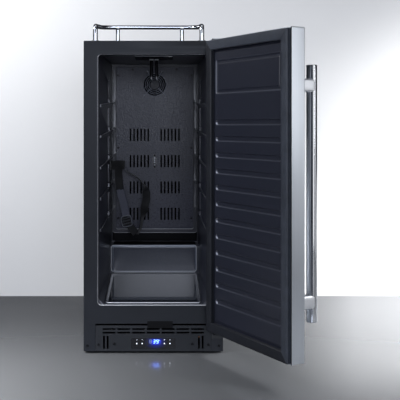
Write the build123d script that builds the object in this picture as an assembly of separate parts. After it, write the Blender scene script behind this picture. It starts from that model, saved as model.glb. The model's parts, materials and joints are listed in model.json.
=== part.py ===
from build123d import *
import math
import os

# Built-in kegerator, modelled with its door open, in millimetres.
# +Z is up, +Y runs from the door side into the cabinet, +X is to the viewer's right.
# The origin is on the floor, at the centre of the four levelling feet.

# Cabinet
cabinet_width = 378.0
cabinet_depth = 590.0
cabinet_height = 841.0
foot_reach = 6.0
sheet = 1.0
bend_radius = 2.5

# Front of the cabinet
stile_width = 32.0
top_rail = 31.0
sill_top = 119.0
sill_height = 44.5
grille_gap = 4.9
lip_width = 6.5
lip_proud = 0.5
mouth_radius = 10.0
grille_sheet = 1.0

# Inner box
liner_wall = 2.0
ceiling_drop = 29.0
floor_front = 126.0
floor_rise = 14.7
back_foam = 39.0
wall_draft = 9.6
plenum_depth = 45.0
plenum_inset = 16.0
plenum_floor = 270.0
plenum_drop = 44.0
foam_below = 31.0
shoulder_front = 18.0
shoulder_rear = 3.0

# Step over the machine compartment
step_depth = 85.0
step_height = 229.4
step_radius = 9.0
hollow_ceiling = 197.0
hollow_setback = 31.0

# Shelf guides on the side walls
guide_count = 6
guide_pitch = 86.5
guide_top = 666.0
guide_height = 8.0
guide_reach = 4.0
guide_from = 60.0
column_depth = 340.0
column_width = 9.0
column_reach = 5.5
knob_height = 12.0

# Back cover, frame and its vents
cover_sheet = 1.2
frame_outer = 137.5
frame_inner = 127.0
frame_face = 8.0
frame_low = 259.0
frame_low_inner = 272.0
frame_drop = 31.0
frame_drop_inner = 38.0
clip_height = 13.0
clip_reach = 6.0
vent_rows = 4
vent_row_pitch = 86.7
vent_low = 320.2
vent_height = 41.0
vent_width = 5.4
vent_pitch = 11.7
vent_inner = 21.2
vents_per_group = 6

# Circulation fans, one behind the back cover and one at the condenser
fan_side = 80.0
fan_thickness = 25.0
fan_bore = 37.5
fan_hub = 15.7
fan_tip_gap = 1.5
fan_blades = 7
blade_thickness = 1.6
blade_pitch_angle = 38.0
shaft_radius = 2.0
running_clearance = 0.05
fan_height = 745.0
guard_wire = 2.4
guard_rings = 3

# Ceiling plate and line tubes
plate_width = 112.0
plate_length = 140.0
plate_depth = 158.0
plate_sheet = 2.0
tube_spacing = 15.5
tube_radius = 4.9
tube_bore = 3.2
tube_length = 52.0
collar_radius = 6.6
collar_height = 4.0
tip_radius = 4.2
tip_length = 8.0

# Port and bolt circle for a tap tower in the top
port_radius = 38.0
port_sleeve = 1.6
tower_bolt_circle = 102.0
tower_bolt_radius = 2.6
tower_bolts = 4
tower_bolt_depth = 16.0

# Door, seen closed: widths along X, thickness towards the viewer
door_side_gap = 1.0
door_bottom = 62.4
door_top_gap = 2.6
door_thickness = 37.2
door_sheet = 0.8
gasket_gap = 1.2
gasket_thickness = 12.0
gasket_width = 26.0
gasket_inset = 3.0
gasket_round = 5.0
door_liner_wall = 2.5
panel_rise = 2.0
panel_groove = 4.0
groove_count = 12
groove_pitch = 42.7
groove_top = 620.0
groove_height = 15.0
groove_half = 149.0
groove_depth = 3.0
recess_low = 694.0
recess_high = 783.0
door_open_angle = 117.0

# Door hinges
hinge_inset = 15.0
hinge_forward = 34.0
pin_radius = 4.0
pin_length = 14.0
bush_radius = 7.5
bush_length = 18.0
bracket_sheet = 2.0
bracket_width = 34.0
bracket_gap = 0.4

# Handle
handle_length = 610.0
handle_radius = 12.7
handle_wall = 1.5
handle_stand = 50.0
handle_inset = 41.7
handle_low = 145.0
post_from_end = 49.0
post_radius = 15.8
cap_thickness = 2.5

# Guard rail on the top
rail_radius = 6.5
rail_left_inset = 30.5
rail_right_inset = 56.5
rail_front = 24.0
rail_back = 290.0
rail_height = 42.3
rail_rise = 26.0
rail_front_bend = 14.0
rail_rear_bend = 30.0
rear_post_spacing = 195.0
rail_flange_radius = 12.0
rail_flange_height = 3.0

# Base grille and controls
grille_slot = 35.2
grille_slot_height = 4.6
grille_slot_pitch = 40.0
grille_slots = 7
grille_rows = 2
grille_row_top = 59.8
grille_row_pitch = 9.7
side_slot_height = 35.0
side_slot_width = 5.3
side_slot_inner = 123.5
side_slot_pitch = 10.0
side_slot_low = 6.8
panel_width = 119.0
panel_height = 28.0
panel_low = 6.9
panel_thickness = 14.0
panel_proud = 0.6
button_radius = 2.8
button_places = (-45.0, -30.0, 30.0, 45.0)
button_height = 21.0
button_proud = 0.5
button_clearance = 0.08
button_length = 4.0
window_width = 40.0
window_height = 14.0
window_height_from_base = 24.5
lens_thickness = 1.0
sensor_block_width = 68.8
sensor_block_height = 19.0
sensor_block_shift = 18.0
sensor_block_depth = 9.0
sensor_block_proud = 0.8

# Levelling feet
foot_radius = 15.0
foot_stem = 4.0
foot_stem_length = 34.0
foot_side_inset = 29.0
foot_end_inset = 45.0
nut_radius = 9.0
nut_height = 10.0

# Machine compartment
compressor_radius = 55.0
compressor_height = 146.0
compressor_x = -72.0
compressor_lift = 16.0
grommet_radius = 9.0
condenser_width = 240.0
condenser_depth = 54.0
condenser_height = 66.0
condenser_front = 62.0
fin_count = 22
fin_thickness = 0.8
fin_margin = 10.0
coil_radius = 4.0
evaporator_rows = 8
evaporator_pitch = 30.0
evaporator_bend = 12.0
evaporator_lift = 68.0
evaporator_column_gap = 18.0
condenser_row_count = 3
condenser_pitch = 20.0
condenser_bend = 9.0
condenser_column_gap = 26.0
drip_pan_height = 14.0
drip_pan_wall = 2.0
drain_radius = 6.0
drain_x = 0.0
pipe_radius = 4.0
gland_radius = 9.0
screw_radius = 3.6
screw_height = 1.6
probe_radius = 2.2
probe_ear = 2.5

# Keg strap on the left wall
strap_thickness = 3.0
strap_from_back = 53.0
strap_top = 499.0
anchor_height = 35.0
anchor_length = 32.0
anchor_thickness = 2.3
buckle_width = 36.0
buckle_height = 38.0

# Places worked out from the driving sizes
half_width = cabinet_width / 2
front_y = -cabinet_depth / 2
base_z = foot_reach
top_z = base_z + cabinet_height
window_half = half_width - stile_width
window_low = base_z + sill_top
window_high = top_z - top_rail
sill_low = window_low - sill_height
grille_high = sill_low - grille_gap
mouth_half = window_half - lip_width
mouth_low = window_low + lip_width
mouth_high = window_high - lip_width
bay_half = mouth_half
bay_half_rear = bay_half - wall_draft
machine_back = cabinet_depth - sheet
bay_depth = machine_back - back_foam - plenum_depth
ceiling_z = top_z - ceiling_drop
floor_z = base_z + floor_front
step_z = base_z + step_height
step_front = bay_depth - step_depth
hollow_front = step_front + hollow_setback
plenum_half = bay_half_rear - plenum_inset
plenum_back = bay_depth + plenum_depth
plenum_low = base_z + plenum_floor
plenum_high = top_z - plenum_drop
underfloor_z = floor_z - liner_wall - foam_below
hollow_z = base_z + hollow_ceiling
cover_low = base_z + frame_low_inner
cover_high = top_z - frame_drop_inner
fan_z = base_z + fan_height
plate_middle = plate_depth + plate_length / 2
door_half = half_width - door_side_gap
door_low = base_z + door_bottom
door_high = top_z - door_top_gap
door_back = -(gasket_gap + gasket_thickness)
door_front = door_back - door_thickness
gasket_half = door_half - gasket_inset
gasket_low = door_low + gasket_inset
gasket_high = door_high - gasket_inset
hinge_x = half_width - hinge_inset
hinge_d = -hinge_forward
machine_middle = (hollow_front + machine_back) / 2
drain_depth = bay_depth + plenum_depth / 2
coil_half = plenum_half - 22
coil_low = plenum_low + evaporator_lift
strap_depth = bay_depth - strap_from_back
anchor_high = base_z + strap_top
rail_left = -half_width + rail_left_inset
rail_right = half_width - rail_right_inset
fan_radius = fan_bore - fan_tip_gap


def floor_at(depth):
    """Height of the sloping floor at a depth behind the cabinet's front."""
    return floor_z + floor_rise * depth / step_front


def block(x, d, z):
    """Box between two values each of X, depth behind the front, and height."""
    size = Box(x[1] - x[0], d[1] - d[0], z[1] - z[0])
    return Pos((x[0] + x[1]) / 2, front_y + (d[0] + d[1]) / 2, (z[0] + z[1]) / 2) * size


def at(x, d, z):
    """Point at X, depth behind the front, and height."""
    return Vector(x, front_y + d, z)


def rod(radius, start, end, bore=0.0):
    """Round bar, or tube with a bore, between two points."""
    section = Circle(radius)
    if bore:
        section = section - Circle(bore)
    along = end - start
    return extrude(Plane(origin=start, z_dir=along) * section, along.length)


def side_profile(points, half):
    """Solid of a depth and height outline, as wide as twice the half width."""
    corners = [(front_y + d, z) for d, z in points]
    outline = make_face(Polyline(*corners, close=True))
    return extrude(Plane.YZ * outline, half, both=True)


def tapered(half, heights, d=(-1.0, cabinet_depth)):
    """Block between the side walls, narrowing to the rear as the inner box does."""
    ends = [(depth, half - wall_draft * depth / bay_depth) for depth in d]
    corners = [(-width, front_y + depth) for depth, width in ends]
    corners += [(width, front_y + depth) for depth, width in reversed(ends)]
    outline = make_face(Polyline(*corners, close=True))
    return extrude(Pos(0, 0, heights[0]) * outline, heights[1] - heights[0])


def front_plate(width, height, radius, middle, d):
    """Plate with rounded corners that faces the front, between two depths."""
    outline = RectangleRounded(width, height, radius)
    face = Plane(origin=(middle[0], front_y + d[1], middle[1]), x_dir=(1, 0, 0), z_dir=(0, -1, 0))
    return extrude(face * outline, d[1] - d[0])


def slot_cut(length, height, middle, d, upright=False):
    """Slot with round ends, cut between two depths."""
    turn = 90 if upright else 0
    outline = SlotOverall(length, height, rotation=turn)
    face = Plane(origin=(middle[0], front_y + d[1], middle[1]), x_dir=(1, 0, 0), z_dir=(0, -1, 0))
    return extrude(face * outline, d[1] - d[0])


def joined(parts):
    """One part from a list of touching or overlapping parts."""
    first, *rest = parts
    return first.fuse(*rest) if rest else first


def group(parts):
    """Separate solids kept together in one node."""
    solids = [solid for part in parts for solid in part.solids()]
    return Compound(children=solids)


def swung(part):
    """A door piece turned from closed to where the open door stands."""
    axis = Axis((hinge_x, front_y + hinge_d, 0), (0, 0, 1))
    return part.rotate(axis, door_open_angle)


def mouth_shape(grow, d):
    """Rounded opening of the inner box, grown on all sides, between two depths."""
    width = 2 * (mouth_half + grow)
    height = mouth_high - mouth_low + 2 * grow
    middle = (0, (mouth_high + mouth_low) / 2)
    return front_plate(width, height, mouth_radius + grow, middle, d)


def case_volume(inset):
    """Block of the cabinet with its long front and top edges rounded."""
    half = half_width - inset
    body = block((-half, half), (inset, cabinet_depth), (base_z, top_z - inset))
    edges = body.edges().filter_by(Axis.Y).group_by(Axis.Z)[-1]
    edges += body.edges().filter_by(Axis.Z).group_by(Axis.Y)[0]
    edges += body.edges().filter_by(Axis.X).group_by(Axis.Z)[-1].group_by(Axis.Y)[0]
    return fillet(edges, bend_radius - inset)


def port_hole(radius, low, high):
    """Upright round cut at the tap tower's port."""
    return rod(radius, at(0, plate_middle, low), at(0, plate_middle, high))


def tower_bolt_holes(radius):
    """Blind round cuts from the top down for the tap tower's screws."""
    cuts = []
    for n in range(tower_bolts):
        angle = math.radians(45 + 360 * n / tower_bolts)
        x = tower_bolt_circle / 2 * math.cos(angle)
        d = plate_middle + tower_bolt_circle / 2 * math.sin(angle)
        cuts.append(rod(radius, at(x, d, top_z - tower_bolt_depth), at(x, d, top_z + 1)))
    return cuts


def outer_case():
    """Painted steel wrap: top, two sides, and the flange round the opening."""
    wrap = case_volume(0) - case_volume(sheet)
    window_size = (2 * window_half, window_high - window_low)
    middle = (0, (window_high + window_low) / 2)
    radius = mouth_radius + lip_width
    wrap -= front_plate(*window_size, radius, middle, (-sheet, 2 * sheet))
    wrap -= block((-window_half, window_half), (-sheet, 2 * sheet), (base_z - 1, sill_low))
    wrap -= port_hole(port_radius, top_z - 2 * sheet, top_z + 1)
    for hole in tower_bolt_holes(tower_bolt_radius):
        wrap -= hole
    x, high = sensor_cut()
    return wrap - block(x, (-sheet, 2 * sheet), (sill_low - 1, high))


def sensor_cut():
    """X range of the door sensor block, and the height of its top edge."""
    half = sensor_block_width / 2
    high = door_low + sensor_block_height
    return (sensor_block_shift - half, sensor_block_shift + half), high


def liner_envelope():
    """Outside of the inner box with the hollow under its step taken away."""
    front = sheet
    back = bay_depth + liner_wall
    outline = [(front, floor_at(front) - liner_wall), (back, floor_at(back) - liner_wall)]
    outline += [(back, ceiling_z + liner_wall), (front, ceiling_z + liner_wall)]
    shape = side_profile(outline, half_width) & tapered(bay_half + liner_wall, (base_z, top_z))
    inner = plenum_half + liner_wall
    plenum = (plenum_low - liner_wall, plenum_high + liner_wall)
    shape += block((-inner, inner), (back - 1, plenum_back + liner_wall), plenum)
    return shape - step_hollow()


def step_hollow():
    """Room under the step, open downwards, that the insulation fills."""
    front = step_front + liner_wall
    top = step_z - liner_wall
    hollow = block((-half_width, half_width), (front, bay_depth + 2 * liner_wall), (base_z, top))
    edge = hollow.edges().filter_by(Axis.X).group_by(Axis.Z)[-1].group_by(Axis.Y)[0]
    return fillet(edge, step_radius - liner_wall)


def step_block():
    """Rounded step on the floor over the machine compartment."""
    step = block((-half_width, half_width), (step_front, bay_depth + 1), (base_z + 1, step_z))
    edge = step.edges().filter_by(Axis.X).group_by(Axis.Z)[-1].group_by(Axis.Y)[0]
    return fillet(edge, step_radius)


def bay_space():
    """Air space of the inner box in front of the back cover."""
    start = 2 * liner_wall
    outline = [(start, floor_at(start)), (bay_depth, floor_at(bay_depth))]
    outline += [(bay_depth, ceiling_z), (start, ceiling_z)]
    space = side_profile(outline, half_width) & tapered(bay_half, (base_z, top_z))
    return space - step_block()


def shoulder(side):
    """Chamfered foot of a side wall that narrows along the floor to the step."""
    sections = []
    for d, width in ((2 * liner_wall, shoulder_front), (step_front + 1, shoulder_rear)):
        wall = bay_half - wall_draft * d / bay_depth + liner_wall / 2
        low = floor_at(d) - liner_wall / 2
        corners = [(side * wall, low), (side * (wall - width), low), (side * wall, low + width)]
        plane = Plane(origin=(0, front_y + d, 0), x_dir=(1, 0, 0), z_dir=(0, -1, 0))
        sections.append(plane * make_face(Polyline(*corners, close=True)))
    return loft(sections)


def guide_z(level, depth):
    """Height of the middle of a shelf guide at a depth."""
    return base_z + guide_top - guide_pitch * level + floor_rise * (depth - guide_from) / step_front


def wall_skin(reach):
    """Layer on both side walls that stands out into the inner box."""
    heights = (base_z, top_z)
    return tapered(bay_half + liner_wall / 2, heights) - tapered(bay_half - reach, heights)


def side_guides():
    """Sloping ledges and an upright column with knobs on both side walls."""
    back = bay_depth - frame_face - 12
    parts = []
    for level in range(guide_count - 1):
        low = guide_z(level, guide_from) - guide_height / 2
        high = guide_z(level, back) - guide_height / 2
        outline = [(guide_from, low), (back, high)]
        outline += [(back, high + guide_height), (guide_from, low + guide_height)]
        parts.append(side_profile(outline, half_width) & wall_skin(guide_reach))
        knob = guide_z(level, column_depth) + guide_height / 2
        around = (column_depth - 5, column_depth + 7)
        piece = block((-half_width, half_width), around, (knob - 2, knob + knob_height))
        parts.append(piece & wall_skin(column_reach))
        low = knob + knob_height + 5
        high = knob + guide_pitch - guide_height - 8
        along = (column_depth, column_depth + column_width)
        piece = block((-half_width, half_width), along, (low, high))
        parts.append(piece & wall_skin(column_reach - 1.5))
    return parts


def liner():
    """Black inner box with its lip, sloping floor, step and shelf guides."""
    lip = mouth_shape(lip_width, (-lip_proud, sheet)) - mouth_shape(0, (-2, sheet + 1))
    edges = lip.faces().sort_by(Axis.Y)[0].inner_wires()[0].edges()
    lip = fillet(edges, 1.2)
    shell = liner_envelope()
    shell += block((-bay_half - liner_wall, bay_half + liner_wall), (sheet, 2 * liner_wall),
                   (mouth_low - 2, mouth_low + 8))
    shell -= bay_space()
    shell -= block((-plenum_half, plenum_half), (bay_depth - 3, plenum_back), (plenum_low, plenum_high))
    shell -= mouth_shape(0, (-1, 2 * liner_wall + 0.5))
    shell = joined([shell, lip, shoulder(-1), shoulder(1), *side_guides()])
    shell -= port_hole(port_radius, ceiling_z - 1, ceiling_z + 2 * liner_wall)
    shell -= drain_path(drain_radius, 1)
    for part in through_pipes(pipe_radius):
        shell -= part
    return shell


def drain_path(radius, grow=0.0):
    """Upright run of the defrost drain, from the plenum floor to the drip pan."""
    low = at(drain_x, drain_depth, hollow_z - grow)
    return rod(radius, low, at(drain_x, drain_depth, plenum_low + grow))


def through_pipes(radius):
    """Upright runs of the two refrigerant pipes through the insulation."""
    low = hollow_z - 3
    return [rod(radius, at(x, d, low), at(x, d, high)) for x, d, high in pipe_tops()]


def pipe_tops():
    """X, depth and height where the suction and liquid pipes meet the evaporator."""
    side = coil_half - coil_radius
    front, rear = coil_depths()
    low = coil_low - coil_radius
    return [(-side, front, low), (side, rear, low + evaporator_pitch)]


def coil_depths():
    """Depths of the front and rear columns of the evaporator's tubes."""
    middle = drain_depth - 1.5
    return middle - evaporator_column_gap / 2, middle + evaporator_column_gap / 2


def insulation():
    """Foam between the steel wrap and the inner box."""
    foam = case_volume(sheet)
    outline = [(0, base_z - 1), (0, underfloor_z), (hollow_front, underfloor_z)]
    outline += [(hollow_front, hollow_z), (cabinet_depth + 1, hollow_z), (cabinet_depth + 1, base_z - 1)]
    foam -= side_profile(outline, half_width)
    foam -= block((-half_width, half_width), (machine_back, cabinet_depth + 1), (base_z, top_z))
    foam -= liner_envelope()
    foam -= block((-bay_half - liner_wall, bay_half + liner_wall), (sheet, 2 * liner_wall),
                  (mouth_low - 2, ceiling_z))
    foam -= port_hole(port_radius, ceiling_z - 1, top_z)
    for hole in tower_bolt_holes(tower_bolt_radius + 0.4):
        foam -= hole
    foam -= drain_path(drain_radius, 1)
    for part in through_pipes(pipe_radius):
        foam -= part
    foam -= sensor_block_space()
    return foam


def under_plate():
    """Folded sheet that closes the insulated box from below."""
    outline = [(sheet, underfloor_z - sheet), (hollow_front + sheet, underfloor_z - sheet)]
    outline += [(hollow_front + sheet, hollow_z - sheet), (machine_back, hollow_z - sheet)]
    outline += [(machine_back, hollow_z), (hollow_front, hollow_z)]
    outline += [(hollow_front, underfloor_z), (sheet, underfloor_z)]
    plate = side_profile(outline, half_width) & case_volume(sheet)
    plate -= drain_path(drain_radius, 4)
    for part in through_pipes(pipe_radius):
        plate -= part
    return plate


def case_back():
    """Flat back sheet over the insulation."""
    back = block((-half_width, half_width), (machine_back, cabinet_depth), (hollow_z, top_z))
    return back & case_volume(sheet)


def rear_cover():
    """Slotted sheet over the machine compartment."""
    half = half_width - sheet
    cover = block((-half, half), (machine_back, cabinet_depth), (base_z, hollow_z - 0.5))
    d = (machine_back - 1, cabinet_depth + 1)
    for row in range(4):
        for column in range(-3, 4):
            z = hollow_z - 24 - 22 * row
            cover -= slot_cut(34, 6, (column * 44.0, z), d)
    cover -= rod(gland_radius, at(*gland_place(machine_back - 1)), at(*gland_place(cabinet_depth + 1)))
    return cover


def gland_place(depth):
    """Where the mains cord would enter, low at the back."""
    return -half_width + 44, depth, base_z + 34


def cord_gland():
    """Collar with a square flange for the mains cord."""
    collar = rod(gland_radius, at(*gland_place(machine_back - 8)), at(*gland_place(cabinet_depth)))
    flange = rod(gland_radius + 4, at(*gland_place(cabinet_depth)), at(*gland_place(cabinet_depth + 3)))
    hole = rod(4.2, at(*gland_place(machine_back - 9)), at(*gland_place(cabinet_depth + 4)))
    return joined([collar, flange]) - hole


def base_pan():
    """Bottom sheet with turned-up edges and a nut for each foot."""
    half = half_width - sheet
    pan = block((-half, half), (sheet, machine_back), (base_z, base_z + sheet)) & case_volume(sheet)
    parts = [pan]
    for x, d in foot_places():
        parts.append(rod(nut_radius, at(x, d, base_z), at(x, d, base_z + nut_height)))
    pan = joined(parts)
    for x, d in foot_places():
        bore = foot_stem + running_clearance
        pan -= rod(bore, at(x, d, base_z - 1), at(x, d, base_z + nut_height + 1))
    return pan


def foot_places():
    """X and depth of the four levelling feet."""
    side = half_width - foot_side_inset
    ends = (foot_end_inset, cabinet_depth - foot_end_inset)
    return [(x, d) for d in ends for x in (-side, side)]


def foot(x, d):
    """Levelling foot: a round pad on a threaded stem."""
    pad = rod(foot_radius, at(x, d, 0), at(x, d, foot_reach - 0.4))
    pad = fillet(pad.edges().group_by(Axis.Z)[-1], 1.5)
    stem = rod(foot_stem, at(x, d, foot_reach - 1), at(x, d, foot_stem_length))
    return joined([pad, stem])


def tower_sleeve():
    """Thin tube that lines the tap tower's port through the insulation."""
    low = at(0, plate_middle, ceiling_z)
    high = at(0, plate_middle, top_z)
    return rod(port_radius, low, high, port_radius - port_sleeve)


def ceiling_plate():
    """Plate under the ceiling that closes the port round the line tubes."""
    half = plate_width / 2
    low = ceiling_z - plate_sheet
    plate = block((-half, half), (plate_depth, plate_depth + plate_length), (low, ceiling_z))
    plate = fillet(plate.edges().filter_by(Axis.Z), 6)
    raised = block((-half + 22, half - 22), (plate_depth + 20, plate_depth + plate_length - 20),
                   (low - 2, low))
    plate = joined([plate, fillet(raised.edges().filter_by(Axis.Z), 5)])
    for x in tube_places():
        plate -= rod(tube_radius, at(x, plate_middle, low - 3), at(x, plate_middle, ceiling_z + 1))
    return plate


def tube_places():
    """X of the two line tubes."""
    return -tube_spacing / 2, tube_spacing / 2


def line_tubes():
    """Two black tubes that lead the lines down from the port."""
    low = ceiling_z - plate_sheet - 2 - tube_length
    return group([rod(tube_radius, at(x, plate_middle, low), at(x, plate_middle, ceiling_z), tube_bore)
                  for x in tube_places()])


def tube_collars():
    """Bright nuts that hold the tubes under the ceiling plate."""
    high = ceiling_z - plate_sheet - 2
    parts = []
    for x in tube_places():
        nut = rod(collar_radius, at(x, plate_middle, high - collar_height), at(x, plate_middle, high),
                  tube_radius)
        parts.append(nut)
    return group(parts)


def tube_tips():
    """Bright hose tips at the lower ends of the tubes."""
    end = ceiling_z - plate_sheet - 2 - tube_length
    parts = []
    for x in tube_places():
        tip = rod(tip_radius, at(x, plate_middle, end - tip_length), at(x, plate_middle, end), tube_bore - 1)
        parts.append(tip)
    return group(parts)


def back_frame():
    """Raised frame round the back cover, with a clip at each shelf level."""
    d = (bay_depth - frame_face, bay_depth - cover_sheet)
    outer = block((-frame_outer, frame_outer), d, (base_z + frame_low, top_z - frame_drop))
    outer = fillet(outer.edges().filter_by(Axis.Y), 9)
    inner = block((-frame_inner, frame_inner), (d[0] - 1, d[1] + 1), (cover_low, cover_high))
    inner = fillet(inner.edges().filter_by(Axis.Y), 6)
    frame = outer - inner
    parts = [frame]
    for level in range(guide_count - 1):
        z = guide_z(level, d[0]) + clip_height / 2
        for side in (-1, 1):
            x = sorted((side * (frame_inner + 1.5), side * (frame_outer - 0.5)))
            face = (d[0] - clip_reach, d[0] + 1)
            parts.append(block(x, face, (z, z + clip_height / 2)))
            lug = sorted((side * (frame_inner + 5), side * (frame_outer - 0.5)))
            parts.append(block(lug, (d[0] - clip_reach, d[0] + 1), (z - clip_height / 2, z + 1)))
    return joined(parts)


def back_cover():
    """Sheet in front of the evaporator with its air slots and the fan hole."""
    half = frame_outer - 4
    low = base_z + frame_low + 4
    high = top_z - frame_drop - 4
    d = (bay_depth - cover_sheet, bay_depth)
    cover = block((-half, half), d, (low, high))
    cut = (d[0] - 1, d[1] + 1)
    for row in range(vent_rows):
        z = base_z + vent_low + vent_row_pitch * row
        for n in range(vents_per_group):
            for side in (-1, 1):
                x = side * (vent_inner + vent_pitch * n)
                cover -= slot_cut(vent_height, vent_width, (x, z), cut, True)
    cover -= rod(fan_bore, at(0, cut[0], fan_z), at(0, cut[1], fan_z))
    return cover


def screw_head(x, d, z):
    """Low domed screw head that faces the front, its seat at a depth."""
    head = rod(screw_radius, at(x, d - screw_height, z), at(x, d, z))
    head = fillet(head.edges().group_by(Axis.Y)[0], screw_height * 0.5)
    cross = block((x - 2, x + 2), (d - screw_height - 1, d - screw_height / 2), (z - 0.4, z + 0.4))
    cross += block((x - 0.4, x + 0.4), (d - screw_height - 1, d - screw_height / 2), (z - 2, z + 2))
    return head - cross


def cover_screw_places():
    """X and height of the screws that hold the back cover."""
    side = frame_inner - 6.5
    top = cover_high - 8
    rows = (cover_high - 27, (cover_high + cover_low) / 2, cover_low + 34)
    places = [(x, z) for z in rows for x in (-side, side)]
    places += [(-72.6, top), (72.6, top)]
    return places + [(-24.4, top - 9), (24.4, top - 9)]


def screws():
    """The screws of the back cover, the probe, the grille, the strap and the hinges."""
    face = bay_depth - cover_sheet
    parts = [screw_head(x, face, z) for x, z in cover_screw_places()]
    x, z = probe_place()
    parts += [screw_head(x, face - probe_ear, z + rise) for rise in (-18.5, 18.5)]
    for x, z in ((105.5, 20.0), (148.5, 17.3), (178.5, 15.0)):
        parts += [screw_head(side * x, 0, base_z + z) for side in (-1, 1)]
    hinge_z = door_low - bracket_gap - 15
    parts += [screw_head(hinge_x + x, -bracket_sheet, hinge_z) for x in (-9, 7)]
    return group(parts)


def fan_axis(x, z):
    """Makes a point on a fan's axis at a depth."""
    return lambda d: at(x, d, z)


def fan_housing(x, z, d):
    """Square fan frame with its struts and the motor cup that carries the shaft."""
    half = fan_side / 2
    point = fan_axis(x, z)
    frame = block((x - half, x + half), (d, d + fan_thickness), (z - half, z + half))
    frame = fillet(frame.edges().filter_by(Axis.Y), 5)
    frame -= rod(fan_bore, point(d - 1), point(d + fan_thickness + 1))
    back = (d + fan_thickness - 4, d + fan_thickness)
    parts = [frame, rod(fan_hub, point(back[0]), point(back[1]))]
    for angle in (45, 135):
        bar = Box(2 * fan_bore + 2, back[1] - back[0], 4)
        bar = Rot(0, angle, 0) * bar
        parts.append(Pos(x, front_y + sum(back) / 2, z) * bar)
    frame = joined(parts)
    for side in (-1, 1):
        for rise in (-1, 1):
            hole = (x + side * (half - 4.3), z + rise * (half - 4.3))
            frame -= rod(2.1, at(hole[0], d - 1, hole[1]), at(hole[0], d + fan_thickness + 1, hole[1]))
    bore = shaft_radius + running_clearance
    return frame - rod(bore, point(back[0] - 1), point(back[1] + 1))


def fan_rotor(x, z, d):
    """Fan wheel: hub, pitched blades and the shaft that turns in the cup."""
    point = fan_axis(x, z)
    face = d + 2
    rear = d + fan_thickness - 5
    hub = rod(fan_hub, point(face), point(rear))
    hub = fillet(hub.edges().group_by(Axis.Y)[0], 2)
    shaft = rod(shaft_radius, point(rear - 1), point(d + fan_thickness - 0.5))
    middle = front_y + (face + rear) / 2
    length = fan_radius - fan_hub + 3
    blades = []
    for n in range(fan_blades):
        blade = Box(length, (rear - face) * 1.05, blade_thickness)
        blade = Rot(blade_pitch_angle, 0, 0) * blade
        blade = Pos(fan_hub - 3 + length / 2, 0, 0) * blade
        blade = Rot(0, 360 * n / fan_blades, 0) * blade
        blades.append(Pos(x, middle, z) * blade)
    wheel = joined([hub, *blades])
    wheel = wheel & rod(fan_radius, point(face), point(rear))
    return joined([wheel, shaft])


def fan_guard():
    """Wire guard in front of the circulation fan: rings, spokes and centre disc."""
    d = bay_depth - cover_sheet - guard_wire
    wire = guard_wire / 2
    parts = [rod(fan_hub, at(0, d, fan_z), at(0, d + guard_wire, fan_z))]
    step = (fan_bore - fan_hub) / guard_rings
    for n in range(guard_rings):
        radius = fan_hub + step * (n + 1) - wire
        ring = Pos(0, front_y + d + wire, fan_z) * (Rot(90, 0, 0) * Torus(radius, wire))
        parts.append(ring)
    reach = fan_side / 2 * 1.22
    for angle in (45, 135):
        bar = Rot(0, angle, 0) * Box(2 * reach, guard_wire * 0.9, guard_wire * 0.9)
        parts.append(Pos(0, front_y + d + wire * 1.05, fan_z) * bar)
    return joined(parts)


def temperature_probe():
    """Bright sensing rod in its clip, with two screw ears, in the second row of vents."""
    x, z = probe_place()
    face = bay_depth - cover_sheet
    body = block((x - 8, x + 8), (face - 4, face), (z - 11, z + 11))
    ears = block((x - 4.5, x + 4.5), (face - probe_ear, face), (z - 23, z + 23))
    sensing = rod(probe_radius, at(x, face - 6.5, z - 14), at(x, face - 6.5, z + 14))
    jaws = [block((x - 4, x + 4), (face - 9.5, face), (z + low, z + low + 4)) for low in (-9, 5)]
    return joined([body, ears, sensing, *jaws])


def probe_place():
    """X and height of the middle of the temperature probe."""
    return 0.0, base_z + vent_low + 2 * vent_row_pitch


def serpentine(half, front, rear, heights, bend, rear_rows):
    """Tube that runs to and fro up one column and down the other."""
    side = -half
    corners = []
    column = [(front, z) for z in heights] + [(rear, z) for z in reversed(heights[-rear_rows:])]
    for d, z in column:
        corners += [at(side, d, z), at(-side, d, z)]
        side = -side
    bends = [bend] * (len(corners) - 2)
    turn = 2 * len(heights) - 1
    bends[turn - 1] = bends[turn] = min(bend, (rear - front) / 2 - 1)
    path = FilletPolyline(*corners, radius=bends)
    return sweep(Plane(origin=corners[0], z_dir=(1, 0, 0)) * Circle(coil_radius), path=path)


def fin_plates(half, holes, d, z):
    """Row of upright plates with a hole for every tube, out to half the width."""
    plate = block((0, fin_thickness), d, z)
    for depth, height in holes:
        plate -= rod(coil_radius, at(-1, depth, height), at(2, depth, height))
    pitch = (2 * half - fin_thickness) / (fin_count - 1)
    return [Pos(-half + pitch * n, 0, 0) * plate for n in range(fin_count)]


def evaporator_heights():
    """Heights of the evaporator's tubes."""
    return [coil_low + evaporator_pitch * n for n in range(evaporator_rows)]


def evaporator_fins():
    """Thin upright plates that the evaporator's tubes pass through."""
    heights = evaporator_heights()
    holes = [(d, z) for z in heights for d in coil_depths()]
    z = (heights[0] - coil_radius - fin_margin, heights[-1] + coil_radius + fin_margin)
    half = coil_half - evaporator_bend - 2
    return group(fin_plates(half, holes, (bay_depth + 5, plenum_back), z))


def evaporator_coil():
    """Bent tube of the evaporator, up its front column and down its rear one."""
    front, rear = coil_depths()
    return serpentine(coil_half, front, rear, evaporator_heights(), evaporator_bend, evaporator_rows - 1)


def condenser_space():
    """Depth range and height range of the condenser."""
    d = (condenser_front, condenser_front + condenser_depth)
    low = base_z + sheet + 6
    return d, (low, low + condenser_height)


def condenser_tubes():
    """Front and rear depths of the condenser's tubes, and their heights."""
    d, z = condenser_space()
    front = d[0] + 14
    heights = [z[0] + 13 + condenser_pitch * n for n in range(condenser_row_count)]
    return front, front + condenser_column_gap, heights


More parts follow.
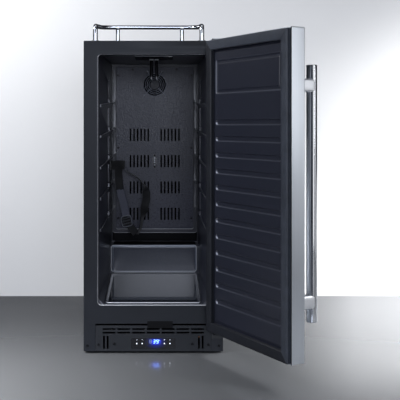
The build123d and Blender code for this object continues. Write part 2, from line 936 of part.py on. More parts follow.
def condenser_fins():
    """Upright plates of the condenser and the two end plates that it stands on."""
    d, z = condenser_space()
    front, rear, heights = condenser_tubes()
    holes = [(depth, height) for height in heights for depth in (front, rear)]
    half = condenser_width / 2 - condenser_bend - 12
    parts = fin_plates(half, holes, d, z)
    stand = block((0, sheet), d, (base_z + sheet, z[1]))
    for depth, height in holes:
        stand -= rod(coil_radius, at(-1, depth, height), at(2, depth, height))
    parts += [Pos(x, 0, 0) * stand for x in (-half - 4, half + 4 - sheet)]
    return group(parts)


def condenser_coil():
    """Bent tube of the condenser."""
    front, rear, heights = condenser_tubes()
    tube = serpentine(condenser_width / 2 - 4, front, rear, heights, condenser_bend, condenser_row_count)
    return mirror(tube, Plane.YZ)


def condenser_fan_place():
    """X, height and depth of the condenser fan."""
    d = condenser_space()[0][1] + 12
    return 0.0, base_z + sheet + fan_side / 2, d


def compressor():
    """Domed compressor with its base plate."""
    x, d = compressor_x, machine_middle
    low = base_z + sheet + compressor_lift
    body = rod(compressor_radius, at(x, d, low), at(x, d, low + compressor_height))
    body = fillet(body.edges(), compressor_radius * 0.42)
    band = rod(compressor_radius + 2, at(x, d, low + compressor_height * 0.55),
               at(x, d, low + compressor_height * 0.55 + 5))
    reach = compressor_radius + 10
    plate = block((x - reach, x + reach), (d - 45, d + 45), (low - 3, low))
    neck = rod(compressor_radius * 0.62, at(x, d, low - 1), at(x, d, low + 4))
    return joined([body, band, plate, neck])


def compressor_grommets():
    """Rubber mounts between the compressor's plate and the base."""
    low = base_z + sheet
    high = low + compressor_lift - 3
    parts = []
    for side in (-1, 1):
        for rear in (-1, 1):
            x = compressor_x + side * (compressor_radius - 2)
            d = machine_middle + rear * 32
            parts.append(rod(grommet_radius, at(x, d, low), at(x, d, high)))
    return group(parts)


def drip_pan():
    """Tray over the compressor that the defrost water runs into."""
    x = (-coil_half - 16, coil_half + 16)
    d = (hollow_front + 2 * sheet + 3, machine_back - 4)
    high = hollow_z - sheet - 1.5
    tray = block(x, d, (high - drip_pan_height, high))
    wall = drip_pan_wall
    room = block((x[0] + wall, x[1] - wall), (d[0] + wall, d[1] - wall),
                 (high - drip_pan_height + wall, high + 1))
    tray -= room
    for place, depth, _ in pipe_tops():
        tray -= rod(pipe_radius + 4, at(place, depth, high - 30), at(place, depth, high + 1))
    hanger = block((x[1] - 20, x[1]), (d[0], d[0] + wall), (high - 1, hollow_z - sheet))
    other = block((x[0], x[0] + 20), (d[0], d[0] + wall), (high - 1, hollow_z - sheet))
    return joined([tray, hanger, other])


def drain_tube():
    """Tube that leads the defrost water down through the insulation."""
    low = at(drain_x, drain_depth, hollow_z - sheet - 7)
    return rod(drain_radius, low, at(drain_x, drain_depth, plenum_low), drain_radius - 1.2)


def suction_pipe():
    """Pipe from the evaporator straight down to the top of the compressor."""
    x, d, high = pipe_tops()[0]
    dome = base_z + sheet + compressor_lift + compressor_height
    return rod(pipe_radius, at(x, d, dome), at(x, d, high))


def liquid_pipe():
    """Pipe from the condenser back and up to the evaporator."""
    x, depth, high = pipe_tops()[1]
    d, _, heights = condenser_tubes()
    low = heights[0]
    side = condenser_width / 2 + 16
    points = [at(condenser_width / 2 - 4, d, low), at(side, d, low),
              at(side, depth, low), at(x, depth, low), at(x, depth, high)]
    path = FilletPolyline(*points, radius=8)
    start = Plane(origin=points[0], z_dir=points[1] - points[0])
    return sweep(start * Circle(pipe_radius), path=path)


def control_housing():
    """Black control box in the grille, with a face panel and button guides."""
    half = panel_width / 2
    z = (base_z + panel_low, base_z + panel_low + panel_height)
    body = block((-half, half), (-panel_proud, panel_thickness), z)
    edges = body.edges().filter_by(Axis.Y)
    body = fillet(edges, 2)
    inner = block((-half + 3, half - 3), (3, panel_thickness - 2), (z[0] + 3, z[1] - 3))
    body -= inner
    body -= block((window_x()[0], window_x()[1]), (-1, 4), window_z())
    for x in button_places:
        hole = button_radius + button_clearance
        body -= rod(hole, at(x, -1, button_z()), at(x, 4, button_z()))
    return body


def window_x():
    """X range of the display window."""
    return -window_width / 2 + 1.5, window_width / 2 + 1.5


def window_z():
    """Height range of the display window."""
    middle = base_z + window_height_from_base
    return middle - window_height / 2, middle + window_height / 2


def button_z():
    """Height of the buttons."""
    return base_z + button_height


def display_lens():
    """Dark clear window over the display."""
    low, high = window_z()
    return block(window_x(), (-panel_proud, -panel_proud + lens_thickness), (low, high))


def display_board():
    """Circuit board behind the buttons, with the lamp block of the display on it."""
    half = panel_width / 2 - 3
    board = block((-half, half), (7, 8.6), (base_z + panel_low + 3, base_z + panel_low + panel_height - 3))
    low, high = window_z()
    x = window_x()
    gap = 0.3
    front = -panel_proud + lens_thickness + gap
    return board + block((x[0] + gap, x[1] - gap), (front, 7.1), (low + gap, high - gap))


def button(x):
    """Round push button with a wider head behind the panel."""
    z = button_z()
    tip = -panel_proud - button_proud
    stem = rod(button_radius, at(x, tip, z), at(x, 3.2, z))
    stem = fillet(stem.edges().group_by(Axis.Y)[0], 0.4)
    flange = rod(button_radius + 1.2, at(x, 3.2, z), at(x, tip + button_length + 0.8, z))
    return joined([stem, flange])


def grille():
    """Slotted plate under the door, round the control box."""
    half = window_half - 0.5
    plate = block((-half, half), (0, grille_sheet), (base_z, grille_high))
    cut = (-1, 2 * grille_sheet)
    for row in range(grille_rows):
        z = base_z + grille_row_top - grille_row_pitch * row
        for n in range(grille_slots):
            x = (n - (grille_slots - 1) / 2) * grille_slot_pitch
            plate -= block((x - grille_slot / 2, x + grille_slot / 2), cut,
                           (z - grille_slot_height / 2, z + grille_slot_height / 2))
    for side in (-1, 1):
        for n in range(2):
            x = side * (side_slot_inner + side_slot_pitch * n)
            low = base_z + side_slot_low
            plate -= block((x - side_slot_width / 2, x + side_slot_width / 2), cut,
                           (low, low + side_slot_height))
    half = panel_width / 2
    low = base_z + panel_low
    room = block((-half, half), cut, (low, low + panel_height))
    plate -= fillet(room.edges().filter_by(Axis.Y), 2)
    plate -= sensor_block_space()
    return plate


def sensor_block_space():
    """Room of the door sensor block, at the joint of sill and grille."""
    x, high = sensor_cut()
    return block(x, (-sensor_block_proud, sensor_block_depth), (high - sensor_block_height, high))


def sensor_block():
    """Black door sensor block between the sill and the grille."""
    body = sensor_block_space()
    return fillet(body.edges().group_by(Axis.Y)[0], 0.6)


def gasket():
    """Magnetic seal: a soft frame that closes on the cabinet's flange."""
    d = (door_back, -gasket_gap)
    ring = block((-gasket_half, gasket_half), d, (gasket_low, gasket_high))
    outer = ring.edges().group_by(Axis.Y)[-1]
    ring = fillet(outer, gasket_round)
    inner = gasket_width
    hole = block((-gasket_half + inner, gasket_half - inner), (d[0] - 1, d[1] + 1),
                 (gasket_low + inner, gasket_high - inner))
    return ring - hole


def door_skin():
    """Brushed steel door shell with its edges turned back."""
    shell = block((-door_half, door_half), (door_front, door_back), (door_low, door_high))
    edges = shell.edges().group_by(Axis.Y)[0] + shell.edges().filter_by(Axis.Y)
    shell = fillet(edges, bend_radius)
    shell -= door_inside(door_front + door_sheet, door_back + 1)
    for z in (door_low, door_high):
        shell -= hinge_bore(bush_radius, z - 2, z + 2)
    return shell


def door_inside(front, back):
    """Room inside the door shell between two depths."""
    inset = door_sheet
    room = block((-door_half + inset, door_half - inset), (front, back), (door_low + inset, door_high - inset))
    edges = room.edges().filter_by(Axis.Y)
    if front == door_front + door_sheet:
        edges += room.edges().group_by(Axis.Y)[0]
    return fillet(edges, bend_radius - door_sheet)


def hinge_bore(radius, low, high):
    """Upright round cut on the hinge axis."""
    return rod(radius, at(hinge_x, hinge_d, low), at(hinge_x, hinge_d, high))


def door_foam():
    """Insulation inside the door."""
    foam = door_inside(door_front + door_sheet, door_back - door_liner_wall)
    for low, high in bush_spans():
        foam -= hinge_bore(bush_radius, low - 1, high + 1)
    return foam


def bush_spans():
    """Height range of the lower and of the upper hinge bush."""
    return [(door_low, door_low + bush_length), (door_high - bush_length, door_high)]


def hinge_bushes():
    """Plastic bushes in the door that turn on the hinge pins."""
    parts = []
    for low, high in bush_spans():
        bush = hinge_bore(bush_radius, low, high)
        bore = pin_radius + running_clearance
        if low == door_low:
            bush -= hinge_bore(bore, low - 1, low + pin_length + 1)
        else:
            bush -= hinge_bore(bore, high - pin_length - 1, high + 1)
        parts.append(bush)
    return group(parts)


def door_liner():
    """Inner door panel: a raised field with a recess and a row of grooves."""
    plate = door_inside(door_back - door_liner_wall, door_back)
    inner = gasket_width + panel_groove
    half = gasket_half - inner
    face = door_back + panel_rise
    field = block((-half, half), (door_back - 1, face), (gasket_low + inner, gasket_high - inner))
    field = fillet(field.edges().group_by(Axis.Y)[-1], 1.2)
    panel = joined([plate, field])
    cut = (face - groove_depth, face + 1)
    for n in range(groove_count):
        z = base_z + groove_top - groove_pitch * n
        panel -= slot_cut(2 * groove_half, groove_height, (0, z), cut)
    middle = (0, base_z + (recess_low + recess_high) / 2)
    panel -= front_plate(2 * groove_half, recess_high - recess_low, 5, middle, cut)
    edge = 7.0
    inner_plate = front_plate(2 * (groove_half - edge), recess_high - recess_low - 2 * edge, 4,
                              middle, (cut[0], face - 1.2))
    return joined([panel, inner_plate])


def handle_x():
    """X of the handle on the closed door."""
    return -door_half + handle_inset


def handle_depth():
    """Depth of the handle's axis, in front of the closed door."""
    return door_front - handle_stand


def handle_tube():
    """Polished round tube of the handle with its closed ends."""
    x, d = handle_x(), handle_depth()
    low = base_z + handle_low
    high = low + handle_length
    tube = rod(handle_radius, at(x, d, low), at(x, d, high))
    tube = fillet(tube.edges(), 1.0)
    return tube - rod(handle_radius - handle_wall, at(x, d, low + cap_thickness),
                      at(x, d, high - cap_thickness))


def post_heights():
    """Heights of the two handle posts."""
    low = base_z + handle_low
    return low + post_from_end, low + handle_length - post_from_end


def handle_posts():
    """Satin posts that carry the handle tube off the door, hollowed to its round."""
    x, d = handle_x(), handle_depth()
    tube = rod(handle_radius, at(x, d, base_z), at(x, d, top_z))
    return group([rod(post_radius, at(x, d, z), at(x, door_front, z)) - tube for z in post_heights()])


def top_hinge():
    """Plate on the cabinet's top that carries the upper hinge pin."""
    half = bracket_width / 2
    x = (hinge_x - half, half_width - 0.5)
    plate = block(x, (hinge_d - 9, 46), (top_z, top_z + bracket_sheet))
    plate = fillet(plate.edges().filter_by(Axis.Z), 5)
    pin = hinge_bore(pin_radius, door_high - pin_length, top_z + 1)
    washer = hinge_bore(bush_radius - 1, door_high + bracket_gap, top_z + 0.5)
    return joined([plate, pin, washer])


def bottom_hinge():
    """Angle bracket under the door with the lower hinge pin."""
    half = bracket_width / 2
    x = (hinge_x - half, half_width - 0.5)
    high = door_low - bracket_gap - 1
    leaf = block(x, (hinge_d - 9, 0), (high - bracket_sheet, high))
    leaf = fillet(leaf.edges().filter_by(Axis.Z).group_by(Axis.Y)[0], 5)
    back = block(x, (-bracket_sheet, 0), (high - 26, high))
    pin = hinge_bore(pin_radius, high - 1, door_low + pin_length)
    washer = hinge_bore(bush_radius - 1, high - 0.5, door_low - bracket_gap)
    return joined([leaf, back, pin, washer])


def rail_points():
    """Corners of the guard rail's tube."""
    low = top_z + rail_flange_height
    front = top_z + rail_height
    back = front + rail_rise
    return [at(rail_left, rail_front, low), at(rail_left, rail_front, front),
            at(rail_left, rail_back, back), at(rail_right, rail_back, back),
            at(rail_right, rail_front, front), at(rail_right, rail_front, low)]


def guard_rail():
    """Bent bar: two front posts, two side rails, the rear rail and its two posts."""
    points = rail_points()
    bends = [rail_front_bend, rail_rear_bend, rail_rear_bend, rail_front_bend]
    path = FilletPolyline(*points, radius=bends)
    start = Plane(origin=points[0], z_dir=(0, 0, 1))
    tube = sweep(start * Circle(rail_radius), path=path)
    top = points[2].Z
    posts = [rod(rail_radius - 0.4, at(x, rail_back, top_z + rail_flange_height), at(x, rail_back, top))
             for x in rear_post_places()]
    return joined([tube, *posts])


def rear_post_places():
    """X of the two posts under the rear rail."""
    middle = (rail_left + rail_right) / 2
    return middle - rear_post_spacing / 2, middle + rear_post_spacing / 2


def rail_flanges():
    """Round feet of the guard rail on the cabinet's top."""
    places = [(p.X, rail_front) for p in (rail_points()[0], rail_points()[-1])]
    places += [(x, rail_back) for x in rear_post_places()]
    parts = []
    for x, d in places:
        disc = rod(rail_flange_radius, at(x, d, top_z), at(x, d, top_z + rail_flange_height))
        parts.append(fillet(disc.edges().group_by(Axis.Z)[-1], 1.5))
    return group(parts)


def strap():
    """Webbing strap that hangs as a loop from the left wall."""
    outer = [(0, 0), (43, 0), (47, -30), (79, -43), (115, -75), (129, -100), (127, -143),
             (103, -193), (97, -243), (71, -243), (65, -213), (31, -211), (29, -175), (11, -97),
             (9, -25), (0, -25)]
    inner = [(36, -35), (47, -43), (75, -55), (101, -81), (96, -105), (95, -143), (79, -187),
             (65, -174), (60, -173), (40, -97)]
    plane = Plane(origin=at(strap_start(), strap_depth + strap_thickness, anchor_high),
                  x_dir=(1, 0, 0), z_dir=(0, -1, 0))
    shape = make_face(Polyline(*outer, close=True)) - make_face(Polyline(*inner, close=True))
    return extrude(plane * shape, strap_thickness)


def strap_start():
    """X where the strap leaves its wall plate."""
    return -strap_wall() + anchor_thickness + 0.3


def strap_wall():
    """Half the width of the inner box at the far edge of the strap's plate."""
    return bay_half - wall_draft * anchor_span()[1] / bay_depth


def anchor_span():
    """Depth range of the strap's wall plate."""
    middle = strap_depth + strap_thickness / 2
    return middle - anchor_length / 2, middle + anchor_length / 2


def strap_anchor():
    """Plate that fixes the strap on the left wall."""
    plate = block((-bay_half, -strap_wall() + anchor_thickness), anchor_span(),
                  (anchor_high - anchor_height, anchor_high))
    plate = fillet(plate.edges().filter_by(Axis.X), 4)
    return plate & tapered(bay_half, (base_z, top_z))


def strap_buckle():
    """Slide buckle on the strap."""
    middle = (strap_start() + 48, anchor_high - 193)
    d = (strap_depth - 5, strap_depth - 0.3)
    body = front_plate(buckle_width, buckle_height, 3, middle, d)
    for rise in (-8, 8):
        body -= front_plate(buckle_width - 9, 8, 1.5, (middle[0], middle[1] + rise), (d[0] - 1, d[1] + 1))
    return body


def control_box():
    """Box with the power board, on the base under the cabinet."""
    z = (base_z + sheet, base_z + sheet + 48)
    box = block((-half_width + 16, -half_width + 96), (200, 330), z)
    return fillet(box.edges().filter_by(Axis.Z), 4)


def nodes():
    """Every piece by name, the door's pieces already swung open."""
    fan_at = (0.0, fan_z, bay_depth)
    cooler = condenser_fan_place()
    made = {
        "outer_case": outer_case(),
        "case_back": case_back(),
        "rear_cover": rear_cover(),
        "base_pan": base_pan(),
        "under_plate": under_plate(),
        "insulation": insulation(),
        "liner": liner(),
        "back_frame": back_frame(),
        "back_cover": back_cover(),
        "fan_guard": fan_guard(),
        "fan_housing": fan_housing(*fan_at),
        "fan_rotor": fan_rotor(*fan_at),
        "temperature_probe": temperature_probe(),
        "evaporator_fins": evaporator_fins(),
        "evaporator_coil": evaporator_coil(),
        "tower_sleeve": tower_sleeve(),
        "ceiling_plate": ceiling_plate(),
        "line_tubes": line_tubes(),
        "tube_collars": tube_collars(),
        "tube_tips": tube_tips(),
        "strap": strap(),
        "strap_anchor": strap_anchor(),
        "strap_buckle": strap_buckle(),
        "sensor_block": sensor_block(),
        "grille": grille(),
        "control_housing": control_housing(),
        "display_lens": display_lens(),
        "display_board": display_board(),
        "control_box": control_box(),
        "screws": screws(),
        "compressor": compressor(),
        "compressor_grommets": compressor_grommets(),
        "condenser_fins": condenser_fins(),
        "condenser_coil": condenser_coil(),
        "condenser_fan_housing": fan_housing(*cooler),
        "condenser_fan_rotor": fan_rotor(*cooler),
        "suction_pipe": suction_pipe(),
        "liquid_pipe": liquid_pipe(),
        "drip_pan": drip_pan(),
        "drain_tube": drain_tube(),
        "cord_gland": cord_gland(),
        "guard_rail": guard_rail(),
        "rail_flanges": rail_flanges(),
        "top_hinge": top_hinge(),
        "bottom_hinge": bottom_hinge(),
    }
    for name, (x, d) in zip(("left_front", "right_front", "left_rear", "right_rear"), foot_places()):
        made["foot_" + name] = foot(x, d)
    for name, x in zip(("first", "second", "third", "fourth"), button_places):
        made["button_" + name] = button(x)
    door = {
        "door_skin": door_skin(),
        "door_foam": door_foam(),
        "door_liner": door_liner(),
        "gasket": gasket(),
        "hinge_bushes": hinge_bushes(),
        "handle_tube": handle_tube(),
        "handle_posts": handle_posts(),
    }
    made.update({name: swung(part) for name, part in door.items()})
    return made


os.makedirs("parts", exist_ok=True)
for name, part in nodes().items():
    export_step(part, "parts/" + name + ".step")
    print(name, len(part.solids()))
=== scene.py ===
import json
import math
import bmesh
import bpy
import numpy as np
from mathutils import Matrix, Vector


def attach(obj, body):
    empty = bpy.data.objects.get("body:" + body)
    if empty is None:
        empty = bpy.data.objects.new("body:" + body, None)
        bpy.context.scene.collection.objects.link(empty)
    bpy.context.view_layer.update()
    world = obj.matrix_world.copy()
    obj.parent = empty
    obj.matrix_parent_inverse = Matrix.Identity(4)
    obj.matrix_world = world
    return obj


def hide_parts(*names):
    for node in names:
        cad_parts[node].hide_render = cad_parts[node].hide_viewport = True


# Built-in kegerator with its door open. Lengths in the dictionaries are millimetres.
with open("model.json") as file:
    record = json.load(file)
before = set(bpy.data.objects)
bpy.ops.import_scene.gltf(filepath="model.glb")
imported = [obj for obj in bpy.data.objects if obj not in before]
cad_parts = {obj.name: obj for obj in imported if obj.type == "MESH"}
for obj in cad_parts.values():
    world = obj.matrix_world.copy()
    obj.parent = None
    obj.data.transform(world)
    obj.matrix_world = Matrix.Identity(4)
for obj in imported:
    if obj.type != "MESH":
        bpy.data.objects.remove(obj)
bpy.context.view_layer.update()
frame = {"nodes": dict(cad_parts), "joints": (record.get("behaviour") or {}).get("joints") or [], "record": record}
nodes = frame["nodes"]
bodyOf = {n: b for b, members in frame["record"]["behaviour"]["bodies"].items() for n in members}
hinge = next(j for j in frame["joints"] if j["name"] == "door_hinge")
print("frame loaded:", len(nodes), "nodes")

cabinet = {"front": -295.0, "top": 847.0, "doorAngle": 117.0}
mm = 0.001


class Shading:
    # the nodes of one material or world while they are made
    def __init__(self, owner):
        owner.use_nodes = True
        self.owner, self.tree = owner, owner.node_tree
        self.at = self.add("TexCoord").outputs["Object"]

    def wire(self, node, inputs):
        # links the sockets among the inputs and sets the other values
        for key, value in inputs.items():
            if isinstance(value, bpy.types.NodeSocket):
                self.tree.links.new(value, node.inputs[key])
            else:
                node.inputs[key].default_value = value

    def add(self, kind, inputs=None, **settings):
        # a node with its settings and inputs
        node = self.tree.nodes.new("ShaderNode" + kind)
        for key, value in settings.items():
            setattr(node, key, value)
        self.wire(node, inputs or {})
        return node

    def shade(self, inputs):
        # the finished surface
        self.wire(self.tree.nodes["Principled BSDF"], inputs)
        return self.owner

    def scaled(self, scale, vector=None, turn=(0, 0, 0)):
        # coordinates times a scale for each axis, for grain that runs one way
        vector = vector or self.at
        return self.add("Mapping", {"Vector": vector, "Scale": scale, "Rotation": turn}).outputs[0]

    def math(self, operation, *values):
        return self.add("Math", dict(enumerate(values)), operation=operation).outputs[0]

    def mixed(self, factor, low, high):
        # colour low (1 - factor) + high factor
        return self.add("Mix", {"Factor": factor, 6: low, 7: high}, data_type="RGBA").outputs[2]

    def noise(self, scale, detail=3.0, rough=0.55, vector=None):
        return self.add("TexNoise", {"Vector": vector or self.at, "Scale": scale, "Detail": detail,
                                     "Roughness": rough}).outputs["Fac"]

    def tones(self, factor, low, high, start=0.3, end=0.7):
        # colour that goes from low to high as the factor goes from start to end
        ramp = self.add("ValToRGB", {"Fac": factor})
        for element, place, colour in zip(ramp.color_ramp.elements, (start, end), (low, high)):
            element.position = place
            element.color = (*colour, 1)
        return ramp.outputs["Color"]

    def tinted(self, factor, colour, darker, lighter=1.0, start=0.3, end=0.7):
        # tones between two multiples of one colour
        low, high = [[min(1.0, c * k) for c in colour] for k in (darker, lighter)]
        return self.tones(factor, low, high, start, end)

    def spread(self, value, low, high, start=0.3, end=0.7):
        # number that goes from low to high as the value goes from start to end
        return self.add("MapRange", {"Value": value, "From Min": start, "From Max": end,
                                     "To Min": low, "To Max": high}).outputs[0]

    def relief(self, height, strength, depth, under=None):
        # bump of a height texture, depth in metres, laid over another bump
        inputs = {"Height": height, "Strength": strength, "Distance": depth}
        if under:
            inputs["Normal"] = under
        return self.add("Bump", inputs).outputs[0]


def powderCoat(f, colour, rough, grain=1400.0, gloss=0.5):
    # baked powder paint: orange peel of two sizes, faint blotches in tone and gloss
    blotch = f.noise(9.0, 4.0)
    peel = f.relief(f.noise(grain, 2.0), 0.35, 0.00012)
    return f.shade({"Base Color": f.tinted(blotch, colour, 0.86, 1.16),
                    "Roughness": f.spread(blotch, rough - 0.05, rough + 0.06),
                    "Normal": f.relief(f.noise(grain * 0.22, 2.0), 0.25, 0.0002, peel),
                    "Specular IOR Level": gloss})


def moulded(f, colour, rough, wave, coat, rim=None, gloss=0.5):
    # vacuum formed plastic: slow waves from the mould, fine haze, and edges painted lighter as highlights
    haze = f.noise(160.0, 4.0, 0.6)
    tone = f.tinted(haze, colour, 0.9, 1.12)
    if rim:
        # painted highlight: the rim attribute mixes a light colour in where highlights are painted
        tone = f.mixed(f.add("Attribute", attribute_name="rim").outputs["Fac"], tone, (*rim, 1))
    slow = f.relief(f.noise(6.0, 0.0), 0.5, wave)
    return f.shade({"Base Color": tone, "Roughness": f.spread(haze, rough - 0.015, rough + 0.02),
                    "Normal": f.relief(f.noise(700.0, 1.0), 0.05, 0.00003, slow),
                    "Coat Weight": coat, "Coat Roughness": 0.12, "Specular IOR Level": gloss})


def hammered(f, colour, size, rough=0.33):
    # pebbled sheet: round bumps a few millimetres across that catch the light one by one
    cells = f.add("TexVoronoi", {"Vector": f.at, "Scale": size}, feature="SMOOTH_F1")
    pebbles = f.relief(cells.outputs["Distance"], 0.45, 0.0008)
    fleck = f.noise(size * 0.8)
    return f.shade({"Base Color": f.tinted(fleck, colour, 0.62, 1.5, 0.35, 0.66),
                    "Roughness": f.spread(fleck, rough - 0.08, rough + 0.12),
                    "Normal": f.relief(f.noise(size * 2.5, 2.0), 0.3, 0.0002, pebbles)})


def brushed(f, colour, rough, along=(1500.0, 1500.0, 9.0)):
    # brushed sheet: noise drawn out along the stroke, in tone, gloss and a fine bump
    stroke = f.noise(1.0, 4.0, 0.6, f.scaled(along))
    cloudy = f.math("ADD", stroke, f.noise(5.0))
    return f.shade({"Base Color": f.tinted(stroke, colour, 0.95, 1.03),
                    "Roughness": f.spread(cloudy, rough - 0.03, rough + 0.04, 0.7, 1.3),
                    "Normal": f.relief(stroke, 0.05, 0.00003), "Metallic": 1.0, "Anisotropic": 0.45})


def polished(f, colour, rough):
    # polished tube: bright metal with faint buffing lines and smudges in the gloss
    smudge = f.noise(22.0, 5.0, 0.65)
    buff = f.noise(1.0, 3.0, vector=f.scaled((700.0, 700.0, 60.0)))
    return f.shade({"Base Color": f.tinted(smudge, colour, 0.95),
                    "Roughness": f.spread(smudge, rough * 0.9, rough * 1.2),
                    "Normal": f.relief(buff, 0.01, 0.00001), "Metallic": 1.0})


def rubbery(f, colour, rough, grain, gloss=0.5):
    # soft rubber or vinyl: dusty tone, pores and low gloss
    dust = f.noise(35.0, 5.0, 0.7)
    return f.shade({"Base Color": f.tinted(dust, colour, 0.8, 1.3),
                    "Roughness": f.spread(dust, rough - 0.07, rough + 0.1),
                    "Normal": f.relief(f.noise(grain), 0.3, 0.00015), "Specular IOR Level": gloss})


def webbingCloth(f, colour):
    # woven webbing on its own UV: ribs across the strap and a twill between them
    uv = f.add("UVMap").outputs[0]
    rib = f.add("TexWave", {"Vector": f.scaled((1.0, 0.12, 1.0), uv), "Scale": 150.0, "Distortion": 0.6,
                            "Detail": 1.0})
    twill = f.add("TexWave", {"Vector": f.scaled((1.0, 1.0, 1.0), uv, (0, 0, 0.9)), "Scale": 210.0,
                              "Distortion": 0.3})
    woven = f.math("MULTIPLY", rib.outputs["Fac"], twill.outputs["Fac"])
    return f.shade({"Base Color": f.tinted(woven, colour, 0.45, 1.0, 0.1, 0.8),
                    "Roughness": f.spread(f.noise(30.0, 4.0), 0.5, 0.78),
                    "Normal": f.relief(woven, 0.7, 0.0004), "Sheen Weight": 0.3})


def foamCells(f, colour):
    # poured foam: small closed cells and a skin that yellows in patches
    cells = f.add("TexVoronoi", {"Vector": f.at, "Scale": 600.0}).outputs["Distance"]
    return f.shade({"Base Color": f.tinted(f.noise(7.0, 4.0), colour, 0.85),
                    "Normal": f.relief(cells, 0.5, 0.0005), "Roughness": 0.85})


def metalTube(f, colour, tarnish, rough=0.3):
    # drawn tube: bright metal with patches of tarnish
    patch = f.noise(45.0, 5.0, 0.7)
    return f.shade({"Base Color": f.tones(patch, tarnish, colour, 0.35, 0.6),
                    "Roughness": f.spread(patch, rough + 0.2, rough),
                    "Normal": f.relief(f.noise(500.0, 2.0), 0.15, 0.0001), "Metallic": 1.0})


def circuitBoard(f, lacquer, otherLacquer, track):
    # green board: tracks from a brick pattern over a blotched lacquer
    upright = f.scaled((1.0, 1.0, 1.0), turn=(1.5708, 0, 0))
    tracks = f.add("TexBrick", {"Vector": upright, "Scale": 260.0, "Color1": (*lacquer, 1),
                                "Color2": (*otherLacquer, 1), "Mortar": (*track, 1), "Mortar Size": 0.04})
    return f.shade({"Base Color": tracks.outputs["Color"], "Roughness": 0.35,
                    "Normal": f.relief(tracks.outputs["Fac"], 0.4, 0.0001)})


def glowing(f, colour, strength):
    # lit mark behind a window: even light with a slight mottle
    return f.shade({"Emission Color": f.tinted(f.noise(900.0, 2.0), colour, 0.75),
                    "Base Color": (*colour, 1), "Emission Strength": strength})


def displayWindow(f, centre, reach, glow, rough=0.08):
    # smoked glossy black with a blue glow that fades away from the digits
    away = f.at
    for operation, other in (("SUBTRACT", centre), ("MULTIPLY", (1.0, 0.0, 1.5)), ("LENGTH", (0, 0, 0))):
        made = f.add("VectorMath", {0: away, 1: other}, operation=operation)
        away = made.outputs["Value" if operation == "LENGTH" else "Vector"]
    fade = f.math("POWER", f.spread(away, 1.0, 0.0, 0.0, reach), 2.0)
    haze = f.noise(300.0)
    return f.shade({"Emission Color": f.tones(fade, (0.0, 0.0, 0.0), (0.01, 0.035, 0.9), 0.0, 1.0),
                    "Base Color": f.tones(haze, (0.002, 0.002, 0.003), (0.004, 0.004, 0.006)),
                    "Roughness": f.spread(haze, rough, rough + 0.08),
                    "Emission Strength": glow, "Specular IOR Level": 0.25})


